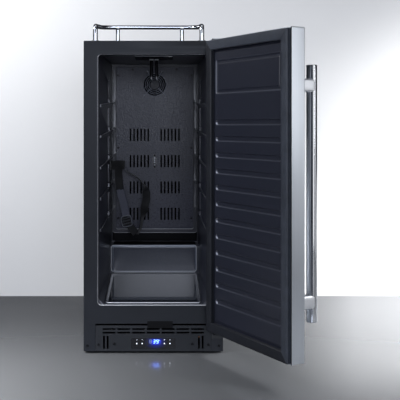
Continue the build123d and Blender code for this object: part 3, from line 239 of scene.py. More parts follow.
finishTable = {
    powderCoat: {  # colour, roughness, grain, gloss
        "casePaint": ((0.0085, 0.0105, 0.0155), 0.42, 1400.0, 0.35),
        "grillePaint": ((0.0105, 0.0125, 0.017), 0.46, 1100.0, 0.4),
        "hingePaint": ((0.016, 0.018, 0.022), 0.38, 1200.0),
        "rearSheet": ((0.05, 0.052, 0.056), 0.55, 800.0),
        # painted highlight for the front edge of the ceiling plate
        "platePaint": ((0.3, 0.32, 0.37), 0.36, 900.0),
        # painted shade for the liner's lip at the mouth, as dark as the case
        "lipPaint": ((0.0085, 0.0105, 0.0155), 0.4, 1400.0, 0.35),
        # the guard's wire is pale grey as a painted highlight along its rings
        "guardWire": ((0.42, 0.44, 0.52), 0.3, 900.0),
        # pale zinc; on the plate's rolled edge and the guard's screws, which lie in shade, its pale tone is a
        # painted highlight and glint
        "zincPlate": ((0.75, 0.76, 0.8), 0.3, 700.0),
        "anchorPaint": ((0.02, 0.02, 0.022), 0.4, 900.0),
        # black fins and coils, made darker still as painted shade so that the slots in front of them stay black
        "darkFins": ((0.0015, 0.0015, 0.002), 0.6, 900.0, 0.05)},
    moulded: {  # colour, roughness, wave, coat, colour of the painted edge highlights, gloss
        "linerPlastic": ((0.039, 0.0415, 0.057), 0.34, 0.0004, 0.2),
        "beadPlastic": ((0.011, 0.0125, 0.018), 0.24, 0.0002, 0.4, (0.93, 0.95, 1.0)),
        "stepShade": ((0.004, 0.0045, 0.006), 0.6, 0.0003, 0.0, None, 0.15),
        "linerEdge": ((0.03, 0.032, 0.045), 0.34, 0.0003, 0.1),
        "deepShade": ((0.0015, 0.0016, 0.0022), 0.5, 0.0003, 0.0, None, 0.1),
        "stepPlastic": ((0.036, 0.039, 0.059), 0.18, 0.0002, 0.5, (0.55, 0.62, 0.75)),
        "trayPlastic": ((0.0085, 0.0115, 0.019), 0.05, 0.00004, 0.0, (0.6, 0.67, 0.8), 0.8),
        "doorPlastic": ((0.018, 0.0202, 0.032), 0.36, 0.0008, 0.1, (0.24, 0.26, 0.32)),
        "framePlastic": ((0.03, 0.031, 0.045), 0.3, 0.0004, 0.2),
        "fanPlastic": ((0.0015, 0.0015, 0.002), 0.45, 0.0001, 0.0, None, 0.15),
        "hubPlastic": ((0.06, 0.062, 0.075), 0.3, 0.0001, 0.2),
        "probePlastic": ((0.075, 0.078, 0.09), 0.3, 0.0001, 0.3),
        "bucklePlastic": ((0.01, 0.0105, 0.014), 0.3, 0.0001, 0.2, (0.3, 0.32, 0.38)),
        "enamel": ((0.006, 0.006, 0.007), 0.14, 0.0004, 0.7)},
    hammered: {"coverPaint": ((0.0245, 0.0262, 0.0505), 300.0)},
    brushed: {  # colour, roughness, scale of the strokes along x, y and z
        "zincSheet": ((0.42, 0.43, 0.44), 0.42, (60.0, 60.0, 900.0)),
        "darkZinc": ((0.05, 0.05, 0.054), 0.5, (60.0, 60.0, 900.0)),
        "nutPlating": ((0.85, 0.86, 0.88), 0.42, (300.0, 300.0, 300.0)),
        "screwZinc": ((0.018, 0.018, 0.02), 0.35, (400.0, 400.0, 400.0)),
        "satinSteel": ((0.78, 0.8, 0.84), 0.42, (900.0, 900.0, 900.0)),
        "doorSteel": ((0.62, 0.66, 0.72), 0.32)},
    polished: {
        "tipPlating": ((0.2, 0.2, 0.21), 0.35),
        "polishedSteel": ((0.62, 0.64, 0.68), 0.05),
        "handleSteel": ((0.62, 0.64, 0.68), 0.1)},
    rubbery: {  # colour, roughness, grain, gloss
        "blackPlastic": ((0.0022, 0.0024, 0.0035), 0.5, 1600.0, 0.15),
        "mountRubber": ((0.02, 0.02, 0.021), 0.7, 700.0),
        "gasketVinyl": ((0.04, 0.046, 0.06), 0.42, 1500.0, 0.4),
        "shadedVinyl": ((0.0135, 0.015, 0.02), 0.5, 1500.0, 0.3),
        "footRubber": ((0.016, 0.016, 0.017), 0.65, 800.0),
        "drainPlastic": ((0.35, 0.35, 0.34), 0.5, 1200.0)},
    webbingCloth: {"webbing": ((0.008, 0.008, 0.0105),), "paleWebbing": ((0.21, 0.22, 0.29),)},
    foamCells: {"foam": ((0.72, 0.63, 0.4),)},
    metalTube: {"copperTube": ((0.3, 0.16, 0.1), (0.08, 0.05, 0.035))},
    circuitBoard: {"boardGreen": ((0.01, 0.09, 0.04), (0.012, 0.12, 0.05), (0.05, 0.3, 0.14))},
    displayWindow: {  # middle and reach of the glow in metres, its strength, roughness
        "window": ((0.0065, -0.2956, 0.0325), 0.024, 2.6),
        "panelPlastic": ((0.0065, -0.2956, 0.031), 0.034, 0.5, 0.2)},
    glowing: {
        "blueGlow": ((0.22, 0.42, 1.0), 4.0),
        "whiteGlow": ((0.8, 0.86, 1.0), 1.8),
        # painted light: a faint glow for display segments that are off
        "faintPaintedGlow": ((0.2, 0.26, 0.42), 0.35)},
}


def newShading(name):
    return Shading(bpy.data.materials.new(name))


finishes = {name: make(newShading(name), *given)
            for make, group in finishTable.items() for name, given in group.items()}
print("finishes made:", len(finishes))


def smooth(t):
    # 3t^2 - 2t^3 between 0 and 1
    t = np.clip(t, 0.0, 1.0)
    return t * t * (3.0 - 2.0 * t)


def hill(t):
    # exp(-t^2), a soft band round t = 0
    return np.exp(-t ** 2)


def around(sides):
    # angles of one full turn, the last one left out
    return np.linspace(0, 2 * np.pi, sides, endpoint=False)


def unit(vectors):
    # v / |v|
    return vectors / np.linalg.norm(vectors, axis=-1, keepdims=True)


def stacked(*parts):
    # arrays and single numbers side by side as coordinates: p = (a, b, c)
    return np.stack(np.broadcast_arrays(*parts), -1)


def turnedPair(x, y, angle):
    # (x cos t - y sin t, x sin t + y cos t)
    return x * math.cos(angle) - y * math.sin(angle), x * math.sin(angle) + y * math.cos(angle)


def swing(grid, way=1):
    # turns points of the closed door about the hinge axis to where the open door stands, or back
    px, py = hinge["pos_m"][0] / mm, hinge["pos_m"][1] / mm
    x, y = turnedPair(grid[..., 0] - px, grid[..., 1] - py, way * math.radians(cabinet["doorAngle"]))
    return stacked(px + x, py + y, grid[..., 2])


def gridFaces(rows, columns, wrapRows, wrapColumns, start):
    # quads of the grid p[i, j], with index start + i * columns + j
    i = np.arange(rows if wrapRows else rows - 1)[:, None]
    j = np.arange(columns if wrapColumns else columns - 1)
    nextI, nextJ = (i + 1) % rows, (j + 1) % columns
    quads = [a * columns + b for a, b in ((i, j), (nextI, j), (nextI, nextJ), (i, nextJ))]
    return start + np.stack(quads, -1).reshape(-1, 4)


def addObject(name, data):
    obj = bpy.data.objects.new(name, data)
    bpy.context.scene.collection.objects.link(obj)
    return obj


def addFinishes(mesh, *names):
    for name in names:
        mesh.materials.append(finishes[name])


def faceMiddles(mesh):
    # the middle of each face in mm
    middles = np.zeros(len(mesh.polygons) * 3)
    mesh.polygons.foreach_get("center", middles)
    return middles.reshape(-1, 3) / mm


def useFinish(mesh, index):
    # number of the finish that each face takes
    mesh.polygons.foreach_set("material_index", index.astype(np.int32))


joins = {"doubles": 2e-6, "sliver": 1e-7}  # metres


def weld(mesh, sharp, outwards, flat=0.0):
    # merges doubles, joins coplanar faces when flat is over 0, and marks edges over the sharp angle
    work = bmesh.new()
    work.from_mesh(mesh)
    bmesh.ops.remove_doubles(work, verts=work.verts, dist=joins["doubles"])
    bmesh.ops.dissolve_degenerate(work, dist=joins["sliver"], edges=work.edges)
    if flat:
        bmesh.ops.dissolve_limit(work, angle_limit=math.radians(flat), verts=work.verts, edges=work.edges,
                                 use_dissolve_boundaries=False)
    if outwards:
        bmesh.ops.recalc_face_normals(work, faces=work.faces)
    work.to_mesh(mesh)
    work.free()
    mesh.polygons.foreach_set("use_smooth", np.ones(len(mesh.polygons), dtype=bool))
    mesh.set_sharp_from_angle(angle=math.radians(sharp))


def buildPiece(name, grids, finish, sharp=60.0, wraps=1, body="cabinet", replaced=None, extra=(), uvs=None,
               paintedHighlights=None):
    # one mesh from grids in mm, welded, with its faces outwards; wraps is 0 for an open grid p[i, j],
    # 1 for one that closes over j, and 2 for one that closes over i too
    faces, start = [], 0
    for grid, wrap in zip(grids, np.broadcast_to(wraps, len(grids))):
        rows, columns = grid.shape[:2]
        faces.append(gridFaces(rows, columns, wrap > 1, wrap > 0, start))
        start += rows * columns
    mesh = bpy.data.meshes.new(name)
    points = np.concatenate([grid.reshape(-1, 3) * mm for grid in grids])
    mesh.from_pydata(points.tolist(), [], np.concatenate(faces).tolist())
    if uvs is not None:
        corner = np.zeros(len(mesh.loops), dtype=np.int32)
        mesh.loops.foreach_get("vertex_index", corner)
        flat = np.concatenate([u.reshape(-1, 2) for u in uvs])
        layer = mesh.uv_layers.new(name="UVMap")
        layer.data.foreach_set("uv", flat[corner].astype(np.float32).ravel())
    # painted highlights: a value at each point for how much of the light highlight colour is mixed in
    if paintedHighlights is not None:
        layer = mesh.attributes.new("rim", "FLOAT", "POINT")
        layer.data.foreach_set("value", np.concatenate([r.ravel() for r in paintedHighlights]).astype(np.float32))
    obj = addObject(name, mesh)
    weld(mesh, sharp, True)
    addFinishes(mesh, finish, *extra)
    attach(obj, body)
    if replaced:
        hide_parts(replaced)
    return obj


def walled(obj, towards, thickness):
    # turns an open sheet over if most of it faces away from a point, and gives it a wall behind its face
    mesh = obj.data
    normals = np.zeros(len(mesh.polygons) * 3)
    mesh.polygons.foreach_get("normal", normals)
    if (normals.reshape(-1, 3) * (np.asarray(towards) - faceMiddles(mesh))).sum() < 0:
        mesh.flip_normals()
    wall = obj.modifiers.new("wall", "SOLIDIFY")
    wall.thickness = thickness * mm
    wall.offset = -1.0


dressing = {"easedFrom": 32.0, "flat": 0.4}  # degrees


def dressed(node, finish, bevel=0.0, segments=2, edge=None, others=None):
    # a welded, smooth-shaded copy of a CAD node with its edges eased, shown instead of the node
    obj = addObject(node + "_dressed", nodes[node].data.copy())
    mesh = obj.data
    weld(mesh, dressing["easedFrom"], False, dressing["flat"])
    mesh.materials.clear()
    others = others or {}
    addFinishes(mesh, finish, *others)
    middles = faceMiddles(mesh)
    index = np.zeros(len(middles))
    for k, (low, high) in enumerate(others.values()):
        # faces whose middle lies in a box take another finish
        index[((middles >= low) & (middles <= high)).all(1)] = k + 1
    useFinish(mesh, index)
    if bevel:
        ease = obj.modifiers.new("ease", "BEVEL")
        ease.width = bevel * mm
        ease.segments = segments
        ease.limit_method = "ANGLE"
        ease.angle_limit = math.radians(dressing["easedFrom"])
        ease.use_clamp_overlap = True
        if edge:
            addFinishes(mesh, edge)
            ease.material = len(others) + 1
    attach(obj, bodyOf[node])
    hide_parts(node)


def turnedProfile(profile, centre, axis=2, sides=48):
    # surface of revolution: p = centre + (r cos a, r sin a, h) with h along the axis
    radius, height = np.asarray(profile, float).T[..., None]
    a = around(sides)
    parts = [radius * np.cos(a), radius * np.sin(a)]
    parts.insert(axis, height)
    return stacked(*parts) + np.asarray(centre, float)


def roundedPath(corners, radii, arcSteps=10):
    # straight runs joined by arcs: c + r (cos t e1 + sin t e2), tangent to both runs
    corners = [np.asarray(c, float) for c in corners]
    path = [corners[0][None]]
    t = np.linspace(0, 1, arcSteps + 1)[:, None]
    for before, corner, after, radius in zip(corners, corners[1:], corners[2:], radii):
        a, b = unit(before - corner), unit(after - corner)
        half = math.acos(np.clip(a @ b, -1, 1)) / 2
        reach = radius / math.tan(half)
        middle = corner + unit(a + b) * radius / math.sin(half)
        first, last = corner + a * reach - middle, corner + b * reach - middle
        turn = math.pi - 2 * half
        path.append(middle + (np.sin((1 - t) * turn) * first + np.sin(t * turn) * last) / math.sin(turn))
    path.append(corners[-1][None])
    return np.concatenate(path)


def tubeAlong(path, radius, sides=28, reference=(1, 1, 1)):
    # circle carried along a path, closed at its ends: p = c(s) + r(s) (cos a n(s) + sin a b(s))
    tangent = unit(np.gradient(path, axis=0))
    side = unit(np.cross(tangent, np.asarray(reference, float)))
    other = np.cross(tangent, side)
    a = around(sides)[None, :, None]
    radius = np.broadcast_to(np.asarray(radius, float), (len(path),))[:, None, None]
    grid = path[:, None] + radius * (np.cos(a) * side[:, None] + np.sin(a) * other[:, None])
    return np.concatenate([np.repeat(path[:1], sides, 0)[None], grid, np.repeat(path[-1:], sides, 0)[None]])


def ribbonAlong(centre, across, width, thickness, edge=6, flatPoints=11):
    # flat strap: p = c(s) + u across(s) w/2 + v normal(s) t/2 on a rounded section (u, v)
    centre, across = np.asarray(centre, float), np.asarray(across, float)
    tangent = unit(np.gradient(centre, axis=0))
    across = unit(across - (across * tangent).sum(1, keepdims=True) * tangent)
    normal = np.cross(tangent, across)
    lip = thickness / width
    flat = np.linspace(-1, 1, flatPoints) * (1 - lip)
    a = np.linspace(-np.pi / 2, np.pi / 2, edge)
    u = np.concatenate([flat, 1 - lip + lip * np.cos(a), -flat, -(1 - lip) - lip * np.cos(a)])
    v = np.concatenate([-np.ones(flatPoints), np.sin(a), np.ones(flatPoints), -np.sin(a)])
    grid = centre[:, None] + (u[None, :, None] * across[:, None] * width / 2
                              + v[None, :, None] * normal[:, None] * thickness / 2)
    ends = np.repeat(centre[[0, -1]][:, None], grid.shape[1], 1)
    length = np.cumsum(np.linalg.norm(np.diff(centre, axis=0), axis=1)) * mm
    length = np.concatenate([[0.0, 0.0], length, length[-1:]])
    return np.concatenate([ends[:1], grid, ends[1:]]), stacked(length[:, None], u * width / 2 * mm)


def softCurve(points, count):
    # smooth curve through points: natural parameter t, cubic Hermite with Catmull tangents
    points = np.asarray(points, float)
    steps = np.concatenate([[0.0], np.cumsum(np.linalg.norm(np.diff(points, axis=0), axis=1))])
    slope = np.gradient(points, steps, axis=0)
    t = np.linspace(0, steps[-1], count)
    k = np.clip(np.searchsorted(steps, t, side="right") - 1, 0, len(points) - 2)
    span = (steps[k + 1] - steps[k])[:, None]
    s = ((t - steps[k]) / span[:, 0])[:, None]
    return ((2 * s**3 - 3 * s**2 + 1) * points[k] + (s**3 - 2 * s**2 + s) * span * slope[k]
            + (3 * s**2 - 2 * s**3) * points[k + 1] + (s**3 - s**2) * span * slope[k + 1])


def squaredLoop(halfX, halfZ, sides, power=5.0):
    # |x/a|^n + |z/c|^n = 1
    a = around(sides)
    return [half * np.sign(w) * np.abs(w) ** (2 / power)
            for half, w in ((halfX, np.cos(a)), (halfZ, np.sin(a)))]


def closeRange(low, high, fine, reach, coarse):
    # values from low to high, fine near both ends within reach and coarse between
    ends = np.arange(0, reach + fine / 2, fine)
    middle = np.linspace(low + reach, high - reach, max(2, int((high - low - 2 * reach) / coarse) + 1))
    return np.unique(np.round(np.concatenate([low + ends, middle, high - ends]), 4))


def boxDistance(x, z, halfX, lowZ, highZ, radius):
    # distance inside (+) or outside (-) of a rounded rectangle
    middle, halfZ = (lowZ + highZ) / 2, (highZ - lowZ) / 2
    dx, dz = np.abs(x) - halfX + radius, np.abs(z - middle) - halfZ + radius
    outside = np.hypot(np.maximum(dx, 0), np.maximum(dz, 0))
    return radius - outside - np.minimum(np.maximum(dx, dz), 0)


doorPanel = {"half": 186.5, "low": 69.6, "high": 843.4, "back": -308.2, "rise": 2.0, "thickness": 2.2,
             "field": (155.0, 101.4, 811.4, 6.0), "fieldEdge": 2.4,
             "grooves": 12, "grooveTop": 626.0, "groovePitch": 42.7, "grooveHalf": 149.0,
             "grooveRadius": 7.5, "grooveDepth": 3.0, "grooveWall": 3.4,
             "recess": (149.0, 700.0, 789.0, 6.0), "islandInset": 8.0, "islandDepth": 1.2,
             "lip": (0.3, 0.75), "hingeEnd": 2.2, "freeEnd": 0.2, "frameLine": 0.4}


def makeDoorPanel(p):
    # y(x, z) = back + rise * field - grooves - recess + island, each term a smooth step of its distance
    _, fieldLow, fieldHigh, _ = p["field"]
    _, recessLow, recessHigh, _ = p["recess"]
    depth, wall, grooveEnd = p["grooveDepth"], p["grooveWall"], p["grooveHalf"]
    ends = np.arange(grooveEnd - 23, grooveEnd + 10, 1.0)
    columns = np.unique(np.concatenate([closeRange(-p["half"], p["half"], 3.0, 26.0, 30.0), ends, -ends]))
    centres = p["grooveTop"] - p["groovePitch"] * np.arange(p["grooves"])
    near = [np.arange(at - below, at + above, 1.0) for at, below, above in
            ((fieldLow, 3, 6), (fieldHigh, 6, 4), (recessLow, 3, 16), (recessHigh, 16, 4))]
    across = (centres[:, None] + np.linspace(-10.5, 10.5, 27)[None]).ravel()
    rows = np.unique(np.round(np.concatenate([[p["low"], p["high"]], *near, across]), 3))
    x, z = np.meshgrid(columns, rows, indexing="ij")
    height = p["rise"] * smooth(boxDistance(x, z, *p["field"]) / p["fieldEdge"])
    nearest = centres[np.argmin(np.abs(z[..., None] - centres), axis=-1)]
    reach = np.maximum(np.abs(x) - (grooveEnd - p["grooveRadius"]), 0)
    inside = p["grooveRadius"] - np.hypot(reach, z - nearest)
    recess = boxDistance(x, z, *p["recess"])
    height -= depth * smooth(inside / wall)
    height -= depth * smooth(recess / wall)
    height += (depth - p["islandDepth"]) * smooth((recess - p["islandInset"]) / wall)
    # painted highlights: how light each groove's lip, its two ends, and the line round the recess are painted
    lipAt, lipWidth = p["lip"]
    lip = hill((inside - lipAt) / lipWidth)
    lower, upper = smooth((nearest - 2.0 - z) / 3.0), smooth((z - nearest - 2.0) / 3.0)
    lines = lip * (lower * (0.3 + 0.3 * smooth((x + 40) / 190.0)) + 0.1 * upper)
    hingeEnd = hill((inside - 1.0) / 1.5) * smooth((x - grooveEnd + 9.0) / 3.0) * p["hingeEnd"]
    hingeEnd *= hill((z - nearest + 4.5) / 3.4)
    freeEnd = p["freeEnd"] * lip * smooth((-x - grooveEnd + 9.0) / 3.0)
    frameLine = hill((recess - 0.6) / 1.4) * (0.35 + 0.9 * smooth((x - grooveEnd + 6.0) / 4.0))
    paintedHighlights = np.clip(0.5 * lines + hingeEnd + freeEnd + p["frameLine"] * frameLine, 0, 1)
    obj = buildPiece("doorPanel", [swing(stacked(x, p["back"] + height, z))], "doorPlastic", 60.0, 0, "door",
                     "door_liner", paintedHighlights=[paintedHighlights])
    walled(obj, swing(np.array([0.0, 400.0, 450.0])), p["thickness"])


mitres = ((-1, -1), (1, -1), (1, 1), (-1, 1))
gasket = {"half": 185.0, "low": 71.4, "high": 841.4, "back": -308.2, "seam": 0.5, "seamWidth": 0.6,
          "width": 26.5, "shadeFrom": 14.0,
          "profile": [(2.0, 0.0), (0.6, 0.7), (0.6, 3.0), (3.4, 3.8), (3.4, 5.0), (0.8, 5.6), (0.5, 6.6),
                      (2.6, 7.3), (2.6, 8.0), (0.5, 8.4), (0.0, 9.4), (0.3, 10.6), (1.4, 11.6), (3.0, 11.95),
                      (13.0, 12.0), (22.6, 11.95), (24.4, 11.5), (25.6, 10.4), (26.0, 9.2), (25.4, 8.3),
                      (23.0, 7.8), (23.2, 6.4), (24.8, 5.6), (24.8, 4.6), (22.4, 3.8), (24.6, 2.4),
                      (24.4, 0.0)]}


def makeGasket(g):
    # the section (u inwards, v outwards) at each mitred corner: p = corner + u (sx, sz) + v y
    u, v = np.asarray(g["profile"], float).T
    rows = []
    for k, (sx, sz) in enumerate(mitres):
        cx, cz = sx * g["half"], g["low"] if sz < 0 else g["high"]
        for towards, sink in ((mitres[k - 1], 0.0), (None, g["seam"]), (mitres[(k + 1) % 4], 0.0)):
            row = stacked(cx - sx * u, g["back"] + v * (1 - sink / v.max()), cz - sz * u)
            if towards:
                row[:, 0] += g["seamWidth"] * np.sign(towards[0] - sx)
                row[:, 2] += g["seamWidth"] * np.sign(towards[1] - sz)
            rows.append(row)
    obj = buildPiece("doorGasket", [swing(np.array(rows))], "gasketVinyl", 30.0, 2, "door", "gasket",
                     ["shadedVinyl"])
    # the runs beside the hinges and at the foot are dark, by each face's place on the closed door
    x, _, z = swing(faceMiddles(obj.data), -1).T
    inRun = (z > g["low"] + g["shadeFrom"]) & (z < g["high"] - g["shadeFrom"])
    fromLow = z - g["low"]
    foot = (fromLow < g["width"]) & (fromLow < x + g["half"])
    useFinish(obj.data, (x > g["half"] - g["width"]) & inRun | foot)


hem = {"half": 187.55, "low": 68.85, "high": 843.95, "back": -308.2, "width": 3.4, "rise": 0.75, "gap": 8.0}


def makeHem(h):
    # folded steel edge round the door's back: a rounded strip section carried round four mitred corners
    t = np.linspace(0, np.pi, 9)
    bulge = stacked(h["width"] / 2 * (1 - np.cos(t)), h["rise"] * np.sin(t) ** 0.6)
    u, v = np.concatenate([bulge, [[h["width"], -0.5], [0, -0.5]]]).T
    rows = [stacked(sx * (h["half"] - u), h["back"] + v, (h["low"] if sz < 0 else h["high"]) - sz * u)
            for sx, sz in mitres]
    obj = buildPiece("doorHem", [swing(np.array(rows))], "doorSteel", 30.0, 2, "door", extra=["deepShade"])
    # the gap beside the seal at the free edge is in deep shade
    away = faceMiddles(obj.data) - swing(np.array([-h["half"], h["back"], 0.0]))
    useFinish(obj.data, np.hypot(away[:, 0], away[:, 1]) < h["gap"])


handle = {"x": -146.3, "y": -395.4, "low": 151.0, "length": 610.0, "radius": 12.7, "ease": 1.3, "dome": 0.5}


def makeHandle(h):
    # revolved bar: straight wall, eased rims r - e (1 - cos t), end discs raised by dome (1 - (r/R)^2)
    radius, ease, dome, length = h["radius"], h["ease"], h["dome"], h["length"]
    t = np.linspace(0, np.pi / 2, 7)
    disc = np.linspace(radius - ease, 0, 8)[1:]
    end = np.concatenate([stacked(radius - ease * (1 - np.cos(t)), ease * (np.sin(t) - 1)),
                          stacked(disc, dome * (1 - (disc / radius) ** 2) - dome)])
    bands = stacked(radius, np.linspace(20, length - 20, 24))
    profile = np.concatenate([end[::-1] * [1, -1], bands, end + [0, length]])
    bar = turnedProfile(profile, (h["x"], h["y"], h["low"]), 2, 64)
    buildPiece("handleBar", [swing(bar)], "handleSteel", 40.0, 1, "door", "handle_tube")


bracket = {"halfX": 13.2, "halfZ": 16.2, "heights": (200.0, 712.0), "from": -395.4, "to": -344.4,
           "along": (0.0, 0.0, 0.3, 0.9, 1.6, 6.0, 16.0, 30.0, 44.0, 50.8),
           "grow": (0.0, 0.9, 0.955, 0.985, 1.0, 1.0, 1.0, 1.0, 1.0, 1.0)}


def makeBrackets(b):
    # section |x/a|^n + |z/c|^n = 1 carried from the tube's middle to the door, with an eased rim
    x, z = squaredLoop(b["halfX"], b["halfZ"], 72)
    along = np.append(b["along"], b["to"] - b["from"])[:, None]
    grow = np.append(b["grow"], 0.0)[:, None]
    grids = [swing(stacked(handle["x"] + grow * x, b["from"] + along, height + grow * z))
             for height in b["heights"]]
    buildPiece("handleBrackets", grids, "satinSteel", 40.0, 1, "door", "handle_posts")


makeDoorPanel(doorPanel)
makeGasket(gasket)
makeHem(hem)
makeHandle(handle)
makeBrackets(bracket)
dressed("door_skin", "doorSteel")
print("door made")

rail = {"left": -158.5, "right": 132.5, "front": -271.0, "back": -5.0, "foot": 849.0, "frontTop": 889.3,
        "backTop": 915.3, "radius": 6.5, "bends": [14.0, 30.0, 30.0, 14.0], "postRadius": 6.1,
        "posts": (-110.5, 84.5), "weld": 1.6,
        "flange": [(0, 0), (12.0, 0), (12.0, 1.1), (11.5, 1.9), (10.4, 2.5), (8.6, 2.8), (7.5, 2.95),
                   (7.1, 3.0), (0, 3.0)]}


def makeRail(r):
    # the bent tube, and two posts whose radius opens to a weld where they meet the rear run
    left, right, front, back = r["left"], r["right"], r["front"], r["back"]
    foot, top = r["foot"], r["backTop"]
    corners = [(left, front, foot), (left, front, r["frontTop"]), (left, back, top), (right, back, top),
               (right, front, r["frontTop"]), (right, front, foot)]
    z = np.concatenate([[foot], np.linspace(foot + 8, top - 14, 5), np.linspace(top - 9, top - 1, 9)])
    postRadius = r["postRadius"] + r["weld"] * smooth((z - (top - 8.0)) / 5.0)
    grids = [tubeAlong(roundedPath(corners, r["bends"], 14), r["radius"], 36)]
    grids += [tubeAlong(stacked(x, back, z), postRadius, 32) for x in r["posts"]]
    buildPiece("railTube", grids, "polishedSteel", 50.0, replaced="guard_rail")
    feet = [(left, front), (right, front)] + [(x, back) for x in r["posts"]]
    discs = [turnedProfile(r["flange"], (x, y, cabinet["top"])) for x, y in feet]
    buildPiece("railFeet", discs, "polishedSteel", 30.0, replaced="rail_flanges")


makeRail(rail)
print("rail made")

# node: finish, radius of eased edges, segments of the ease, finish of the eased edges, and boxes whose
# faces take another finish
shownNodes = {
    "outer_case": ("casePaint", 0.4),
    # the liner's faces behind the cover and on the mouth's lip take dark finishes as painted shade
    "liner": ("linerPlastic", 0.8, 2, "linerEdge", {"deepShade": ((-200, 210.6, 200), (200, 300, 900)),
                                                    "lipPaint": ((-200, -300, 60), (200, -292.5, 900))}),
    "back_frame": ("framePlastic", 0.9, 2, "linerEdge",
                   {"probePlastic": ((-200, 190, 270), (200, 201.2, 800))}),
    "grille": ("grillePaint", 0.25, 1),
    "sensor_block": ("blackPlastic", 0.5),
    "control_housing": ("panelPlastic", 0.35),
    # painted highlight: the front edge of the ceiling plate takes a light finish
    "ceiling_plate": ("blackPlastic", 0.0, 2, None, {"platePaint": ((-60, -138, 815), (60, -136.6, 819))}),
    "top_hinge": ("zincSheet", 0.3),
    "bottom_hinge": ("hingePaint", 0.3),
    "strap_anchor": ("anchorPaint", 0.4),
    "temperature_probe": ("probePlastic", 0.3, 2, None,
                          {"nutPlating": ((-2.3, 200.0, 480), (2.3, 204.4, 520))}),
    "control_box": ("blackPlastic", 0.8),
    "base_pan": ("grillePaint", 0.2, 1),
    "rear_cover": ("rearSheet", 0.2, 1),
    "compressor": ("enamel", 0.8),
    "drip_pan": ("blackPlastic", 0.4),
    "cord_gland": ("blackPlastic", 0.5),
    "fan_housing": ("fanPlastic", 0.4),
    "condenser_fan_housing": ("fanPlastic", 0.4),
    "line_tubes": ("blackPlastic", 0.3),
    "tube_collars": ("zincPlate", 0.3),
    "tube_tips": ("tipPlating", 0.3),
    "screws": ("screwZinc",)}
places = ("first", "second", "third", "fourth")
corners = ("left_front", "right_front", "left_rear", "right_rear")
shownNodes |= {"foot_" + corner: ("footRubber", 0.3) for corner in corners}
shownNodes |= {"button_" + place: ("panelPlastic",) for place in places}
plainNodes = {
    "foam": ("insulation", "door_foam"), "rearSheet": ("case_back",), "darkZinc": ("under_plate",),
    "coverPaint": ("back_cover",),
    # the fins and coils behind the vents are darkened as painted shade
    "darkFins": ("evaporator_fins", "evaporator_coil", "condenser_fins", "condenser_coil"),
    "copperTube": ("suction_pipe", "liquid_pipe"), "mountRubber": ("compressor_grommets",),
    "blackPlastic": ("tower_sleeve", "hinge_bushes"), "boardGreen": ("display_board",),
    "drainPlastic": ("drain_tube",), "window": ("display_lens",)}
for node, given in shownNodes.items():
    dressed(node, *given)
for finish, members in plainNodes.items():
    for node in members:
        nodes[node].data.materials.clear()
        addFinishes(nodes[node].data, finish)
print("cabinet dressed")

step = {"left": -138.5, "right": 137.0, "face": 124.0, "back": 208.0, "top": 236.2, "low": 143.0,
        "radius": 9.0, "fillet": 5.0, "spacing": (1.2, 14.4, 24.0), "hidden": 60.0,
        "brightLean": (40.0, 24.0), "wall": 1.2, "viewer": (0, -900, 600)}


def makeStep(s):
    # rounded box over the step: a point q of the sharp box moves to core + radius * unit(q - core)
    face, top, radius = s["face"], s["top"], s["radius"]
    x, y, z = (closeRange(s[a], s[b], *s["spacing"])
               for a, b in (("left", "right"), ("face", "back"), ("low", "top")))
    sharp = [stacked(x[:, None], face, z), stacked(x[:, None], y, top)]
    sharp += [stacked(wall, y[:, None], z) for wall in (s["left"], s["right"])]
    low = np.array([s["left"], face, s["low"] - s["hidden"]]) + radius
    high = np.array([s["right"], s["back"] + s["hidden"], top]) - radius
    brightAt, brightWidth = s["brightLean"]
    grids, paintedHighlights = [], []
    for q in sharp:
        core = np.clip(q, low, high)
        turned = unit(q - core)
        grids.append(core + turned * radius)
        # painted highlight: the rim is painted lightest where the surface turns about 40 degrees away from the
        # front, and lighter on its upper side
        lean = np.degrees(np.arccos(np.clip(-turned[..., 1], -1, 1)))
        upper = smooth(turned[..., 2] * 2.0)
        paintedHighlights.append(np.clip(hill((lean - brightAt) / brightWidth) * (0.75 + 0.25 * upper), 0, 1))
    obj = buildPiece("stepShell", grids, "stepPlastic", wraps=0, extra=["stepShade"], paintedHighlights=paintedHighlights)
    useFinish(obj.data, faceMiddles(obj.data)[:, 1] > face + radius)
    walled(obj, s["viewer"], s["wall"])
    # cove at the foot: quarter circle between the face and the floor, with a painted highlight line along it
    t = np.linspace(0, np.pi / 2, 9)
    x = np.linspace(s["left"] + 4, s["right"] - 4, 12)[:, None]
    grid = stacked(x, face + 0.3 - s["fillet"] * (1 - np.cos(t)),
                   s["low"] + 4.0 + s["fillet"] * (1 - np.sin(t)))
    line = np.broadcast_to(hill((t - 0.7) / 0.35) * 0.8, grid.shape[:2])
    walled(buildPiece("stepCove", [grid], "stepPlastic", wraps=0, paintedHighlights=[line]), s["viewer"], s["wall"])


tray = {"frontHalf": 131.0, "rearHalf": 137.0, "front": -287.5, "rear": 123.0, "frontZ": 132.2,
        "rearZ": 147.0, "rim": 8.0, "rimRise": 2.0, "lift": 0.5, "centre": -0.8, "corner": 10.0,
        "paintedHighlight": (0.05, 2.0, 1.5), "wall": 1.0}


def floorPoint(t, y):
    # half the width of the floor panel and the height of its slope, both in a straight line with depth y
    along = (y - t["front"]) / (t["rear"] - t["front"])
    half = t["frontHalf"] + (t["rearHalf"] - t["frontHalf"]) * along
    return half, t["frontZ"] + (t["rearZ"] - t["frontZ"]) * along + t["lift"]


